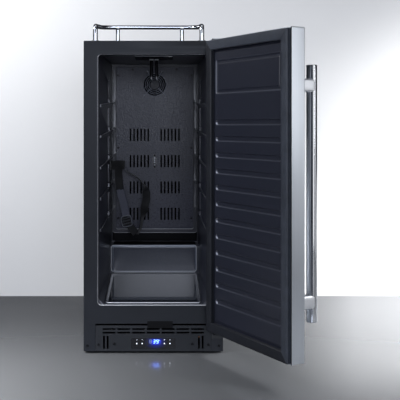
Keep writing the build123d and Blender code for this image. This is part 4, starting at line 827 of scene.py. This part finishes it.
def makeTray(t):
    # floor panel: z = sloping floor + lift + rim * bump of the distance to the panel's edge
    u = closeRange(-1.0, 1.0, 0.0055, 0.1, 0.12)[:, None]
    v = closeRange(0.0, 1.0, 0.0022, 0.045, 0.06)
    half = t["frontHalf"] + (t["rearHalf"] - t["frontHalf"]) * v
    end = (t["rear"] - t["front"]) * v
    side, end = np.broadcast_arrays(half * (1 - np.abs(u)), end)
    corner = t["corner"]
    inset = np.where((side < corner) & (end < corner),
                     corner - np.hypot(corner - side, corner - end), np.minimum(side, end))
    bump = np.sin(np.pi * np.sqrt(np.clip(inset / t["rim"], 0, 1)))
    z = t["frontZ"] + (t["rearZ"] - t["frontZ"]) * v + t["lift"] + t["rimRise"] * bump
    # painted highlight: a light line along the rim, at a given distance inside the panel's edge
    amount, highlightAt, highlightWidth = t["paintedHighlight"]
    paintedHighlights = amount * hill((inset - highlightAt) / highlightWidth)
    grid = stacked(t["centre"] + half * u, t["front"] + end, z)
    obj = buildPiece("floorTray", [grid], "trayPlastic", 70.0, 0, paintedHighlights=[paintedHighlights])
    walled(obj, (0, -200, 800), t["wall"])


def loopPath(left, right, low, high, radius, steps=8):
    # rounded rectangle (u, v): corner centre + radius (cos t, sin t), with points along the straight runs
    path = []
    corners = [(right - radius, high - radius), (left + radius, high - radius),
               (left + radius, low + radius), (right - radius, low + radius)]
    for k, (u, v) in enumerate(corners):
        t = np.linspace(0, np.pi / 2, steps) + k * np.pi / 2
        arc = stacked(u + radius * np.cos(t), v + radius * np.sin(t))
        turn = (k + 1) * np.pi / 2
        following = np.array(corners[(k + 1) % 4]) + radius * np.array([math.cos(turn), math.sin(turn)])
        path += [arc, arc[-1] + (following - arc[-1]) * np.linspace(0, 1, 14)[1:-1, None]]
    return np.concatenate(path)


def ringAlong(path, radius, normal, sides=10):
    # closed tube round a flat loop: p = c(s) + r (cos b side(s) + sin b normal)
    tangent = unit(np.roll(path, -1, 0) - np.roll(path, 1, 0))
    side = unit(np.cross(tangent, normal))
    b = around(sides)[None, :, None]
    return path[:, None] + radius * (np.cos(b) * side[:, None] + np.sin(b) * np.asarray(normal, float))


def buildBead(name, path, radius, normal, paintedHighlight):
    # one ring along a loop, painted bright as a highlight by the value at each of its points
    grid = ringAlong(path, radius, normal)
    buildPiece(name, [grid], "beadPlastic", wraps=2, paintedHighlights=[np.repeat(paintedHighlight[:, None], grid.shape[1], 1)])


# raised beads along the moulding's edges, painted light as highlight lines: left, right, low and high of the
# outline, its corners, depth and thickness, and how bright the painted highlight is on the low, high, left and
# right sides
beads = {
    "stepBead": ((-138.0, 133.6, 151.6, 234.0), 7.0, 124.4, 1.15, (1.0, 1.0, 0.7, 0.85)),
    "mouthBead": ((-150.2, 150.2, 130.8, 809.6), 10.0, -296.2, 1.3, (0.55, 0.0, 0.15, 0.06)),
    "frameInnerBead": ((-127.2, 127.2, 277.6, 809.2), 6.0, 202.0, 1.2, (0.5, 0.08, 0.08, 0.1)),
    "frameOuterBead": ((-137.0, 137.0, 265.6, 815.4), 6.0, 202.2, 1.2, (0.36, 0.06, 0.1, 0.08))}


def makeBeads():
    # the painted highlight follows the side of the outline a point lies on, weighed by exp(-distance / 3)
    for name, (box, corner, depth, radius, sides) in beads.items():
        x, z = loopPath(*box, corner).T
        left, right, low, high = box
        weight = np.exp(-np.stack([z - low, high - z, x - left, right - x]) / 3.0)
        paintedHighlight = np.array(sides) @ (weight / weight.sum(0))
        buildBead(name, stacked(x, depth, z), radius, (0.0, 1.0, 0.0), paintedHighlight)


floorBead = {"inset": 2.0, "front": 5.5, "rear": 3.0, "sink": 0.7, "radius": 1.6,
             "paintedHighlight": (0.08, 0.95, 0.35), "fade": (5.0, 2.0)}


def makeFloorBead(b, t):
    # bead round the floor panel: the outline of the panel with eased corners, on the sloping floor
    u, v = loopPath(-1.0, 1.0, 0.0, 1.0, 0.05).T
    y = t["front"] + b["front"] + (t["rear"] - t["front"] - b["front"] - b["rear"]) * v
    half, z = floorPoint(t, y)
    x = t["centre"] + u * (half - b["inset"])
    # painted highlight, brightest at the front and rear ends of the loop
    base, front, rear = b["paintedHighlight"]
    paintedHighlight = base + front * np.exp((y.min() - y) / b["fade"][0]) + rear * np.exp((y - y.max()) / b["fade"][1])
    path = stacked(x, y, z + t["rimRise"] - b["sink"])
    buildBead("floorBead", path, b["radius"], (0.0, 0.0, 1.0), np.clip(paintedHighlight, 0, 1))


guides = {"levels": 5, "top": 676.2, "pitch": 86.5, "from": 61.0, "to": 484.0, "rise": 14.7, "span": 420.0,
          "half": 146.3, "narrow": 9.6, "bay": 505.0, "radius": 1.4, "end": 4.0, "sides": 8,
          "paintedHighlight": (0.05, 0.16, 90.0)}


def makeGuideBeads(g):
    # one slim tapered rib on the top of each ledge: x = half - narrow d / bay, z climbs with the floor
    start, end = g["from"], g["to"]
    d = np.concatenate([[start], np.linspace(start + 1, end - 1, 40), [end]])
    taper = g["radius"] * smooth(np.minimum(d - start, end - d) / g["end"] + 0.3)
    # painted highlight, brightest near the front end of each rib
    base, more, fade = g["paintedHighlight"]
    paintedHighlight = more * hill((d - start) / fade) + base
    paintedHighlight = np.repeat(np.concatenate([paintedHighlight[:1], paintedHighlight, paintedHighlight[-1:]])[:, None], g["sides"], 1)
    grids = []
    for level in range(g["levels"]):
        z = g["top"] - g["pitch"] * level + g["rise"] * (d - start) / g["span"]
        for side in (-1, 1):
            path = stacked(side * (g["half"] - g["narrow"] * d / g["bay"]), cabinet["front"] + d, z)
            grids.append(tubeAlong(path, np.maximum(taper, 0.2), g["sides"], (0, 0, 1)))
    buildPiece("guideBeads", grids, "beadPlastic", paintedHighlights=[paintedHighlight] * len(grids))


plateEdge = {"half": 55.0, "y": -137.4, "z": 817.2, "radius": 0.85}


def makePlateEdge(e):
    # the rolled front edge of the ceiling plate: a slim rod along it, pale as a painted highlight, since it lies
    # in shade
    path = stacked(np.linspace(-e["half"], e["half"], 24), e["y"], e["z"])
    buildPiece("plateEdge", [tubeAlong(path, e["radius"], 10, (0, 0, 1))], "zincPlate", 40.0)


paintedShadeSheet = {"half": 139.0, "low": 237.5, "high": 266.0, "y": 209.3, "bow": 1.2, "wall": 0.5}


def makePaintedShadeSheet(p):
    # y(u, v) = y - bow (1 - u^2)(1 - v^2): a slightly bowed dark sheet below the frame, in the shade of the step,
    # that paints that shade
    u, v = np.linspace(-1, 1, 40)[:, None], np.linspace(-1, 1, 9)
    middle, half = (p["low"] + p["high"]) / 2, (p["high"] - p["low"]) / 2
    grid = stacked(p["half"] * u, p["y"] - p["bow"] * (1 - u**2) * (1 - v**2), middle + half * v)
    walled(buildPiece("paintedShadeSheet", [grid], "stepShade", wraps=0), step["viewer"], p["wall"])


makeStep(step)
makeTray(tray)
makeBeads()
makeGuideBeads(guides)
makePlateEdge(plateEdge)
makePaintedShadeSheet(paintedShadeSheet)
makeFloorBead(floorBead, tray)
print("lining made")

fanWheel = {"hub": 15.7, "tip": 35.9, "face": 2.2, "rear": 19.8, "blades": 7, "sweep": 0.34, "wrap": 0.62,
            "thickness": 1.3, "camber": 1.4, "root": 1.5, "inset": 1.2, "nose": 3.0, "shaft": 2.0,
            "shaftLength": 4.5}


def makeFan(f, name, body, node, centre):
    # blade: angle = wrap (c - 1/2) + sweep t^2, depth = face + c (rear - face) + camber sin(pi c)
    x0, y0, z0 = centre
    hub, face, rear = f["hub"], f["face"], f["rear"]
    t, c = np.linspace(0, 1, 7)[:, None], np.linspace(0, 1, 11)
    radius = hub - f["root"] + (f["tip"] - hub + f["root"]) * t
    angle = f["wrap"] * (c - 0.5) * (1 + 0.25 * t) + f["sweep"] * t**2
    depth = face + f["inset"] + c * (rear - face - 2 * f["inset"]) + f["camber"] * np.sin(np.pi * c)
    thin = f["thickness"] / 2 * np.sin(np.pi * (0.12 + 0.76 * c)) / radius
    grids = []
    for turn in around(f["blades"]):
        sides = [stacked(x0 + radius * np.cos(a), y0 + depth, z0 + radius * np.sin(a))
                 for a in (angle + turn + thin, angle + turn - thin)]
        loop = np.concatenate([sides[0], sides[1][:, ::-1]], 1)
        caps = loop.mean(1, keepdims=True).repeat(loop.shape[1], 1)
        grids.append(np.concatenate([caps[:1], loop, caps[-1:]]))
    a = np.linspace(0, np.pi / 2, 6)
    nose = stacked(hub - f["nose"] + f["nose"] * np.sin(a), face + f["nose"] - f["nose"] * np.cos(a))
    back = rear + f["shaftLength"]
    profile = np.concatenate([[(0, face + 0.6), (7.0, face + 0.6), (7.6, face)], nose,
                              [(hub, rear), (f["shaft"], rear), (f["shaft"], back), (0, back)]])
    grids.append(turnedProfile(profile, centre, 1, 40))
    buildPiece(name, grids, "fanPlastic", 40.0, body=body, replaced=node)


guard = {"z": 751.0, "y": 207.2, "rings": (19.0, 24.8, 30.6, 37.0), "wire": 1.0, "spoke": 1.15,
         "spokes": (62, 118, 225, 315), "spokeFrom": 14.5, "ear": 49.0, "hub": 15.4, "ridge": 5.1,
         "earShape": [(0, 0), (2.6, 0), (2.9, 0.5), (2.9, 1.4), (0, 1.4)],
         "headShape": [(0, -0.2), (1.5, 0.1), (2.1, 0.6), (2.3, 1.2), (0, 1.2)]}


def makeGuard(g):
    # wire rings: a small circle carried round a large one; spokes out to the ears; a ridged hub disc
    y, z, wire = g["y"], g["z"], g["wire"]
    a, b = around(64)[:, None], around(8)
    grids = []
    for radius in g["rings"]:
        out = radius + wire * np.cos(b)
        grids.append(stacked(out * np.cos(a), y + wire * np.sin(b), z + out * np.sin(a)))
    heads = []
    r = np.linspace(g["spokeFrom"], g["ear"], 12)
    for angle in np.radians(g["spokes"]):
        path = stacked(r * np.cos(angle), y + 0.5, z + r * np.sin(angle))
        x, _, earZ = path[-1]
        grids += [tubeAlong(path, g["spoke"], 10, (0, 1, 0)),
                  turnedProfile(g["earShape"], (x, y - 0.6, earZ), 1, 20)]
        heads.append(turnedProfile(g["headShape"], (x, y - 1.7, earZ), 1, 20))
    buildPiece("guardWires", grids, "guardWire", 50.0, [2] * len(g["rings"]) + [1] * 2 * len(heads),
               replaced="fan_guard")
    r = np.linspace(0, g["hub"], 40)
    ridges = 0.35 * np.cos(2 * np.pi * r / g["ridge"]) * smooth(r / 3) + 0.5 * (r / g["hub"]) ** 2
    disc = np.concatenate([stacked(r, y - 0.9 + ridges), [(g["hub"], y + 1.0), (0, y + 1.0)]])
    buildPiece("guardHub", [turnedProfile(disc, (0, 0, z), 1)], "hubPlastic", 50.0)
    # the screw heads are pale as painted glints
    buildPiece("guardScrews", heads, "zincPlate", 40.0)


makeGuard(guard)
makeFan(fanWheel, "circulationWheel", "circulation_fan", "fan_rotor", (0.0, 210.0, 751.0))
makeFan(fanWheel, "condenserWheel", "condenser_fan", "condenser_fan_rotor", (0.0, -167.0, 47.0))
print("fans made")

strap = {"width": 25.0, "thickness": 1.7, "depth": 157.5, "tab": (-139.0, -96.5, 489.0),
         "tabWider": 3.0, "tabThicker": 1.6, "frontNarrower": 1.0,
         "twist": [(0.3, 0.17, 1.0), (0.6, 0.2, -0.78)],  # from, over and by how many quarter turns
         "front": [(-116.5, 155.2, 487.0), (-116.5, 153.6, 470.0), (-115.5, 153.0, 440.0),
                   (-111.0, 153.4, 408.0), (-101.0, 154.0, 368.0), (-92.5, 154.6, 328.0),
                   (-87.0, 155.4, 308.0), (-76.0, 156.0, 288.0), (-60.0, 156.0, 268.0)],
         "arc": [(-97.0, 158.0, 473.0), (-86.0, 158.4, 466.0), (-66.0, 159.0, 455.0), (-43.0, 159.5, 436.0),
                 (-29.0, 159.5, 410.0), (-26.5, 159.0, 385.0), (-33.0, 158.5, 350.0),
                 (-41.0, 158.0, 312.0), (-46.0, 157.6, 286.0), (-56.0, 157.2, 266.0)],
         "pale": {"right": -74.0, "low": 322.0, "high": 410.0}}


def makeStrap(s):
    # three ribbons: the tab at the wall, the hanging front band, and the thin band that twists face on
    left, right, z = s["tab"]
    depth, width, thickness = s["depth"], s["width"], s["thickness"]
    tab = softCurve([(left, depth + 0.6, z), ((left + right) / 2, depth - 0.6, z + 0.6),
                     (right, depth + 0.8, z)], 24)
    front, arc = softCurve(s["front"], 110), softCurve(s["arc"], 150)
    t = np.linspace(0, 1, len(arc))[:, None]
    turn = sum(amount * smooth((t - start) / span) for start, span, amount in s["twist"])
    angle = (np.pi / 2) * (1 - turn)
    flat = unit(np.cross(unit(np.gradient(arc, axis=0)), [0.0, 1.0, 0.0]))
    across = flat * np.cos(angle) + np.array([0.0, 1.0, 0.0]) * np.sin(angle)
    upright, level = np.array([0.0, 0.0, 1.0]), np.array([1.0, 0.12, 0.0])
    bands = [ribbonAlong(tab, np.tile(upright, (len(tab), 1)), width + s["tabWider"],
                         thickness * s["tabThicker"]),
             ribbonAlong(front, np.tile(level, (len(front), 1)), width - s["frontNarrower"], thickness),
             ribbonAlong(arc, across, width, thickness)]
    grids, uvs = zip(*bands)
    obj = buildPiece("gasStrap", grids, "webbing", 50.0, replaced="strap", extra=["paleWebbing"], uvs=uvs)
    x, _, z = faceMiddles(obj.data).T
    useFinish(obj.data, (z < s["pale"]["high"]) & (z > s["pale"]["low"]) & (x < s["pale"]["right"]))


buckle = {"middle": (-90.0, 309.0), "width": 35.0, "height": 37.0, "depth": 151.6, "lean": 0.22, "edge": 2.5,
          "frame": (2.6, 1.7), "bars": (-7.5, 1.5, 9.5), "bar": 2.1, "barDepth": -0.4}


def makeBuckle(b):
    # ladder buckle: rounded frame and cross bars, each a tube of squashed section along its own loop
    x, z = squaredLoop(b["width"] / 2 - b["edge"], b["height"] / 2 - b["edge"], 64)
    loop = stacked(x, 0.0, z)
    s = around(12)
    wide, deep = b["frame"]
    frameTube = (loop[:, None] + wide * (np.cos(s)[None, :, None] * -unit(loop)[:, None])
                 + deep * np.sin(s)[None, :, None] * np.array([0.0, 1.0, 0.0]))
    across = np.linspace(-b["width"] / 2 + 2, b["width"] / 2 - 2, 12)
    bars = [tubeAlong(stacked(across, b["barDepth"], height), b["bar"], 14, (0, 0, 1))
            for height in b["bars"]]
    grids = []
    for grid in (frameTube, *bars):
        x, z = turnedPair(grid[..., 0], grid[..., 2], b["lean"])
        grids.append(stacked(b["middle"][0] + x, b["depth"] + grid[..., 1], b["middle"][1] + z))
    # painted highlight: a light line along one side of the frame tube, and a faint even one on the bars
    paintedHighlights = [np.tile(hill((s - 3.9) / 0.6), (64, 1))] + [np.full(grid.shape[:2], 0.12) for grid in bars]
    buildPiece("ladderBuckle", grids, "bucklePlastic", 50.0, [2, 1, 1, 1], replaced="strap_buckle", paintedHighlights=paintedHighlights)


makeStrap(strap)
makeBuckle(buckle)
print("strap made")

digits = {"left": -1.0, "low": 27.6, "width": 6.0, "height": 9.8, "gap": 2.4, "bar": 1.25, "face": -295.72,
          "deep": 0.3, "slant": 0.1, "shown": ("abgcd", "abfgcd"), "point": 1.6}


def barBox(x, z, y):
    # thin box from two values each of x and z, on the window's face
    points = [[(x[i], y[k], z[j]) for i, j in ((0, 0), (1, 0), (1, 1), (0, 1))] for k in (0, 1)]
    grid = np.array(points, float)
    middle = grid.mean(1, keepdims=True).repeat(4, 1)
    return np.concatenate([middle[:1], grid, middle[1:]])


def makeDigits(d):
    # seven bars per digit, each an upright or level box, leaned by slant * height
    w, h, b, low = d["width"], d["height"], d["bar"], d["low"]
    across, upper, lower = (b, w - b), (h / 2, h - 0.4), (0.4, h / 2)
    bars = {"a": (across, (h - b, h)), "g": (across, (h / 2 - b / 2, h / 2 + b / 2)), "d": (across, (0, b)),
            "b": ((w - b, w), upper), "c": ((w - b, w), lower), "f": ((0, b), upper), "e": ((0, b), lower)}
    depth = (d["face"], d["face"] + d["deep"])

    def placed(x, key):
        (xa, xb), (za, zb) = bars[key]
        return barBox((x + xa, x + xb), (low + za, low + zb), depth)

    grids = [placed(d["left"] + k * (w + d["gap"]), key) for k, keys in enumerate(d["shown"]) for key in keys]
    x, size = d["left"] + 2 * (w + d["gap"]) - 0.6, d["point"]
    grids.append(barBox((x, x + size), (low + h - 1.0 - size, low + h - 1.0), depth))
    for grid in grids:
        grid[..., 0] += d["slant"] * (grid[..., 2] - low)
    buildPiece("displayDigits", grids, "blueGlow", 30.0)
    # the unlit digit's segments glow faintly, painted light, though they are off
    ghost = [placed(d["left"] - w - d["gap"] - 1.0, key) for key in bars]
    buildPiece("unlitDigit", ghost, "faintPaintedGlow", 30.0)


# each button's place, and the bars of its icon: x from and to, and half the height
marks = {"z": 27.0, "radius": 1.55, "face": -296.14, "deep": 0.12, "iconZ": 37.0, "iconFace": -295.66,
         "iconDeep": 0.2, "buttons": (-45.0, -30.0, 30.0, 45.0),
         "icons": ([(-1.6, -0.4, 0.3), (0.4, 1.6, 0.3)], [(-1.2, 1.2, 0.3)],
                   [(-1.3, 1.3, 0.25), (-0.3, 0.3, 1.0)], [(-0.4, 0.4, 1.0)])}


def makeMarks(m):
    # a lit dot on each button, and a small plain icon above it on the housing
    dot = [(0, 0), (m["radius"], 0), (m["radius"], m["deep"]), (0, m["deep"])]
    depth, z = (m["iconFace"], m["iconFace"] + m["iconDeep"]), m["iconZ"]
    icons = []
    for place, x, bars in zip(places, m["buttons"], m["icons"]):
        grid = turnedProfile(dot, (x, m["face"], m["z"]), 1, 24)
        buildPiece("dot_" + place, [grid], "whiteGlow", 30.0, body="button_" + place)
        icons += [barBox((x + left, x + right), (z - half, z + half), depth) for left, right, half in bars]
    # the icons take the white glow too: their white is print and their glow is painted light
    buildPiece("panelIcons", icons, "whiteGlow", 30.0)


makeDigits(digits)
makeMarks(marks)
print("display made")

stage = {"floor": ((0.128, 0.132, 0.139), 0.12), "wall": ((0.8, 0.8, 0.803), 0.85), "wallY": 0.491,
         "reach": 9.0, "wallTop": 7.0, "brightFrom": (0.42, 0.72), "lowUpTo": (0.25, 0.45),
         "dim": (0.03, 0.031, 0.034, 1), "air": (0.05, 0.056, 0.07, 1), "seenAir": (0.6, 0.61, 0.62, 1)}


def studioSurface(f, colour, rough):
    # painted studio board: faint fine mottle only, so that it stays plain
    grain = f.noise(500.0, 2.0)
    return f.shade({"Base Color": f.tinted(grain, colour, 0.985),
                    "Roughness": f.spread(grain, rough - 0.01, rough + 0.01)})


def stagePlane(name, corners, mat):
    mesh = bpy.data.meshes.new(name)
    mesh.from_pydata(corners, [], [(0, 1, 2, 3)])
    obj = addObject(name, mesh)
    mesh.materials.append(mat)


def backdrop(f):
    # the wall's back is clear, so that the object can be looked at from behind; in mirrors the wall
    # is dim behind the object, as a distant wall would be, and bright at the far right
    parts = f.add("SeparateXYZ", {0: f.at}).outputs
    right = f.spread(parts["X"], 0.0, 1.0, *stage["brightFrom"])
    low = f.spread(parts["Z"], 1.0, 0.0, *stage["lowUpTo"])
    near = f.math("SUBTRACT", 1.0, f.math("MULTIPLY", right, low))
    hidden = f.math("MULTIPLY", f.add("LightPath").outputs["Is Glossy Ray"], near)
    dim = f.add("BsdfDiffuse", {"Color": stage["dim"]}).outputs[0]
    clear = f.add("BsdfTransparent").outputs[0]
    plain = f.tree.nodes["Principled BSDF"].outputs[0]
    front = f.add("MixShader", {0: hidden, 1: plain, 2: dim}).outputs[0]
    behind = f.add("NewGeometry").outputs["Backfacing"]
    both = f.add("MixShader", {0: behind, 1: front, 2: clear}).outputs[0]
    f.wire(f.tree.nodes["Material Output"], {"Surface": both})
    return f.owner


reach, wallY, wallTop = stage["reach"], stage["wallY"], stage["wallTop"]
floorPaint, wallPaint = newShading("studioFloor"), newShading("studioWall")
studioSurface(floorPaint, *stage["floor"])
studioSurface(wallPaint, *stage["wall"])
stagePlane("studioFloor", [(-reach, -reach, 0), (reach, -reach, 0), (reach, reach, 0), (-reach, reach, 0)],
           floorPaint.owner)
stagePlane("studioWall", [(-reach, wallY, 0), (reach, wallY, 0), (reach, wallY, wallTop),
                          (-reach, wallY, wallTop)], backdrop(wallPaint))

# metres: place, aim, size, watts, tint and spread in degrees
white, cool = (1, 1, 1), (0.8, 0.86, 1.0)
lamps = {
    "keyHigh": ((-0.9, -3.0, 2.9), (0, 0, 0.6), (1.7, 0.45), 20.0, cool),
    "keyFront": ((0.3, -3.5, 0.94), (0, 0.1, 0.45), (1.2, 0.8), 20.0, cool),
    "softTop": ((-0.1, -0.9, 2.6), (-0.1, -0.9, 0), (2.2, 2.2), 2.8, white, 80.0),
    "softLeft": ((-1.9, -2.3, 1.5), (0, -0.2, 0.7), (1.5, 1.8), 18.0, (0.88, 0.92, 1.0)),
    "softRight": ((1.62, -2.42, 1.12), (0.38, -0.58, 1.12), (1.25, 2.2), 10.0),
    "sideRight": ((2.45, -1.15, 0.5), (0, -1.15, 0.5), (0.9, 1.0), 2.2),
    "stripRight": ((2.4, -1.9, 1.25), (0.2, -0.2, 0.9), (0.2, 1.5), 4.8),
    "wallLeft": ((-1.6, -0.3, 1.8), (-0.85, 0.49, 1.15), (0.8, 0.8), 20.0, white, 120.0),
    "wallRight": ((2.0, -0.3, 0.5), (1.3, 0.49, 0.2), (0.7, 0.6), 6.5, white, 90.0),
    "floorRight": ((1.5, -0.1, 1.5), (1.0, 0.15, 0.0), (0.5, 0.5), 15.0, white, 70.0),
    "floorNearLeft": ((-1.2, -1.3, 1.2), (-0.75, -0.75, 0), (0.5, 0.5), 12.0, white, 50.0),
    "floorNearRight": ((1.4, -1.2, 1.2), (0.85, -0.75, 0), (0.5, 0.5), 2.6, white, 50.0)}


def areaLight(name, place, aim, size, power, tint=white, spread=180.0):
    data = bpy.data.lights.new(name, "AREA")
    data.shape = "RECTANGLE"
    data.size, data.size_y = size
    data.energy, data.color, data.spread = power, tint, math.radians(spread)
    lamp = addObject(name, data)
    lamp.location = place
    lamp.visible_camera = False
    lamp.rotation_euler = (Vector(place) - Vector(aim)).to_track_quat("Z", "Y").to_euler()
    return lamp


lights = {name: areaLight(name, *given) for name, given in lamps.items()}
# the polished handle is kept clear of the front lamp's image
shaded = bpy.data.collections.new("shadedFromKeyFront")
shaded.objects.link(bpy.data.objects["handleBar"])
lights["keyFront"].light_linking.receiver_collection = shaded
shaded.collection_objects[0].light_linking.link_state = "EXCLUDE"

world = bpy.data.worlds.new("studioAir")
bpy.context.scene.world = world
air = Shading(world)
seen = air.add("LightPath").outputs["Is Camera Ray"]
air.wire(air.tree.nodes["Background"], {"Color": air.mixed(seen, stage["air"], stage["seenAir"])})

cameraPlace = (0.0219, -2.638, 0.6185)
camera = {"sensor_width": 36.0, "lens": 77.88, "shift_x": 0.0965, "shift_y": -0.1875, "clip_end": 60.0}
data = bpy.data.cameras.new("photoCamera")
for key, value in camera.items():
    setattr(data, key, value)
view = addObject("photoCamera", data)
view.location = cameraPlace
view.rotation_euler = (math.radians(90), 0, 0)
bpy.context.scene.camera = view
bpy.context.scene.view_settings.view_transform = "Standard"
print("stage set")
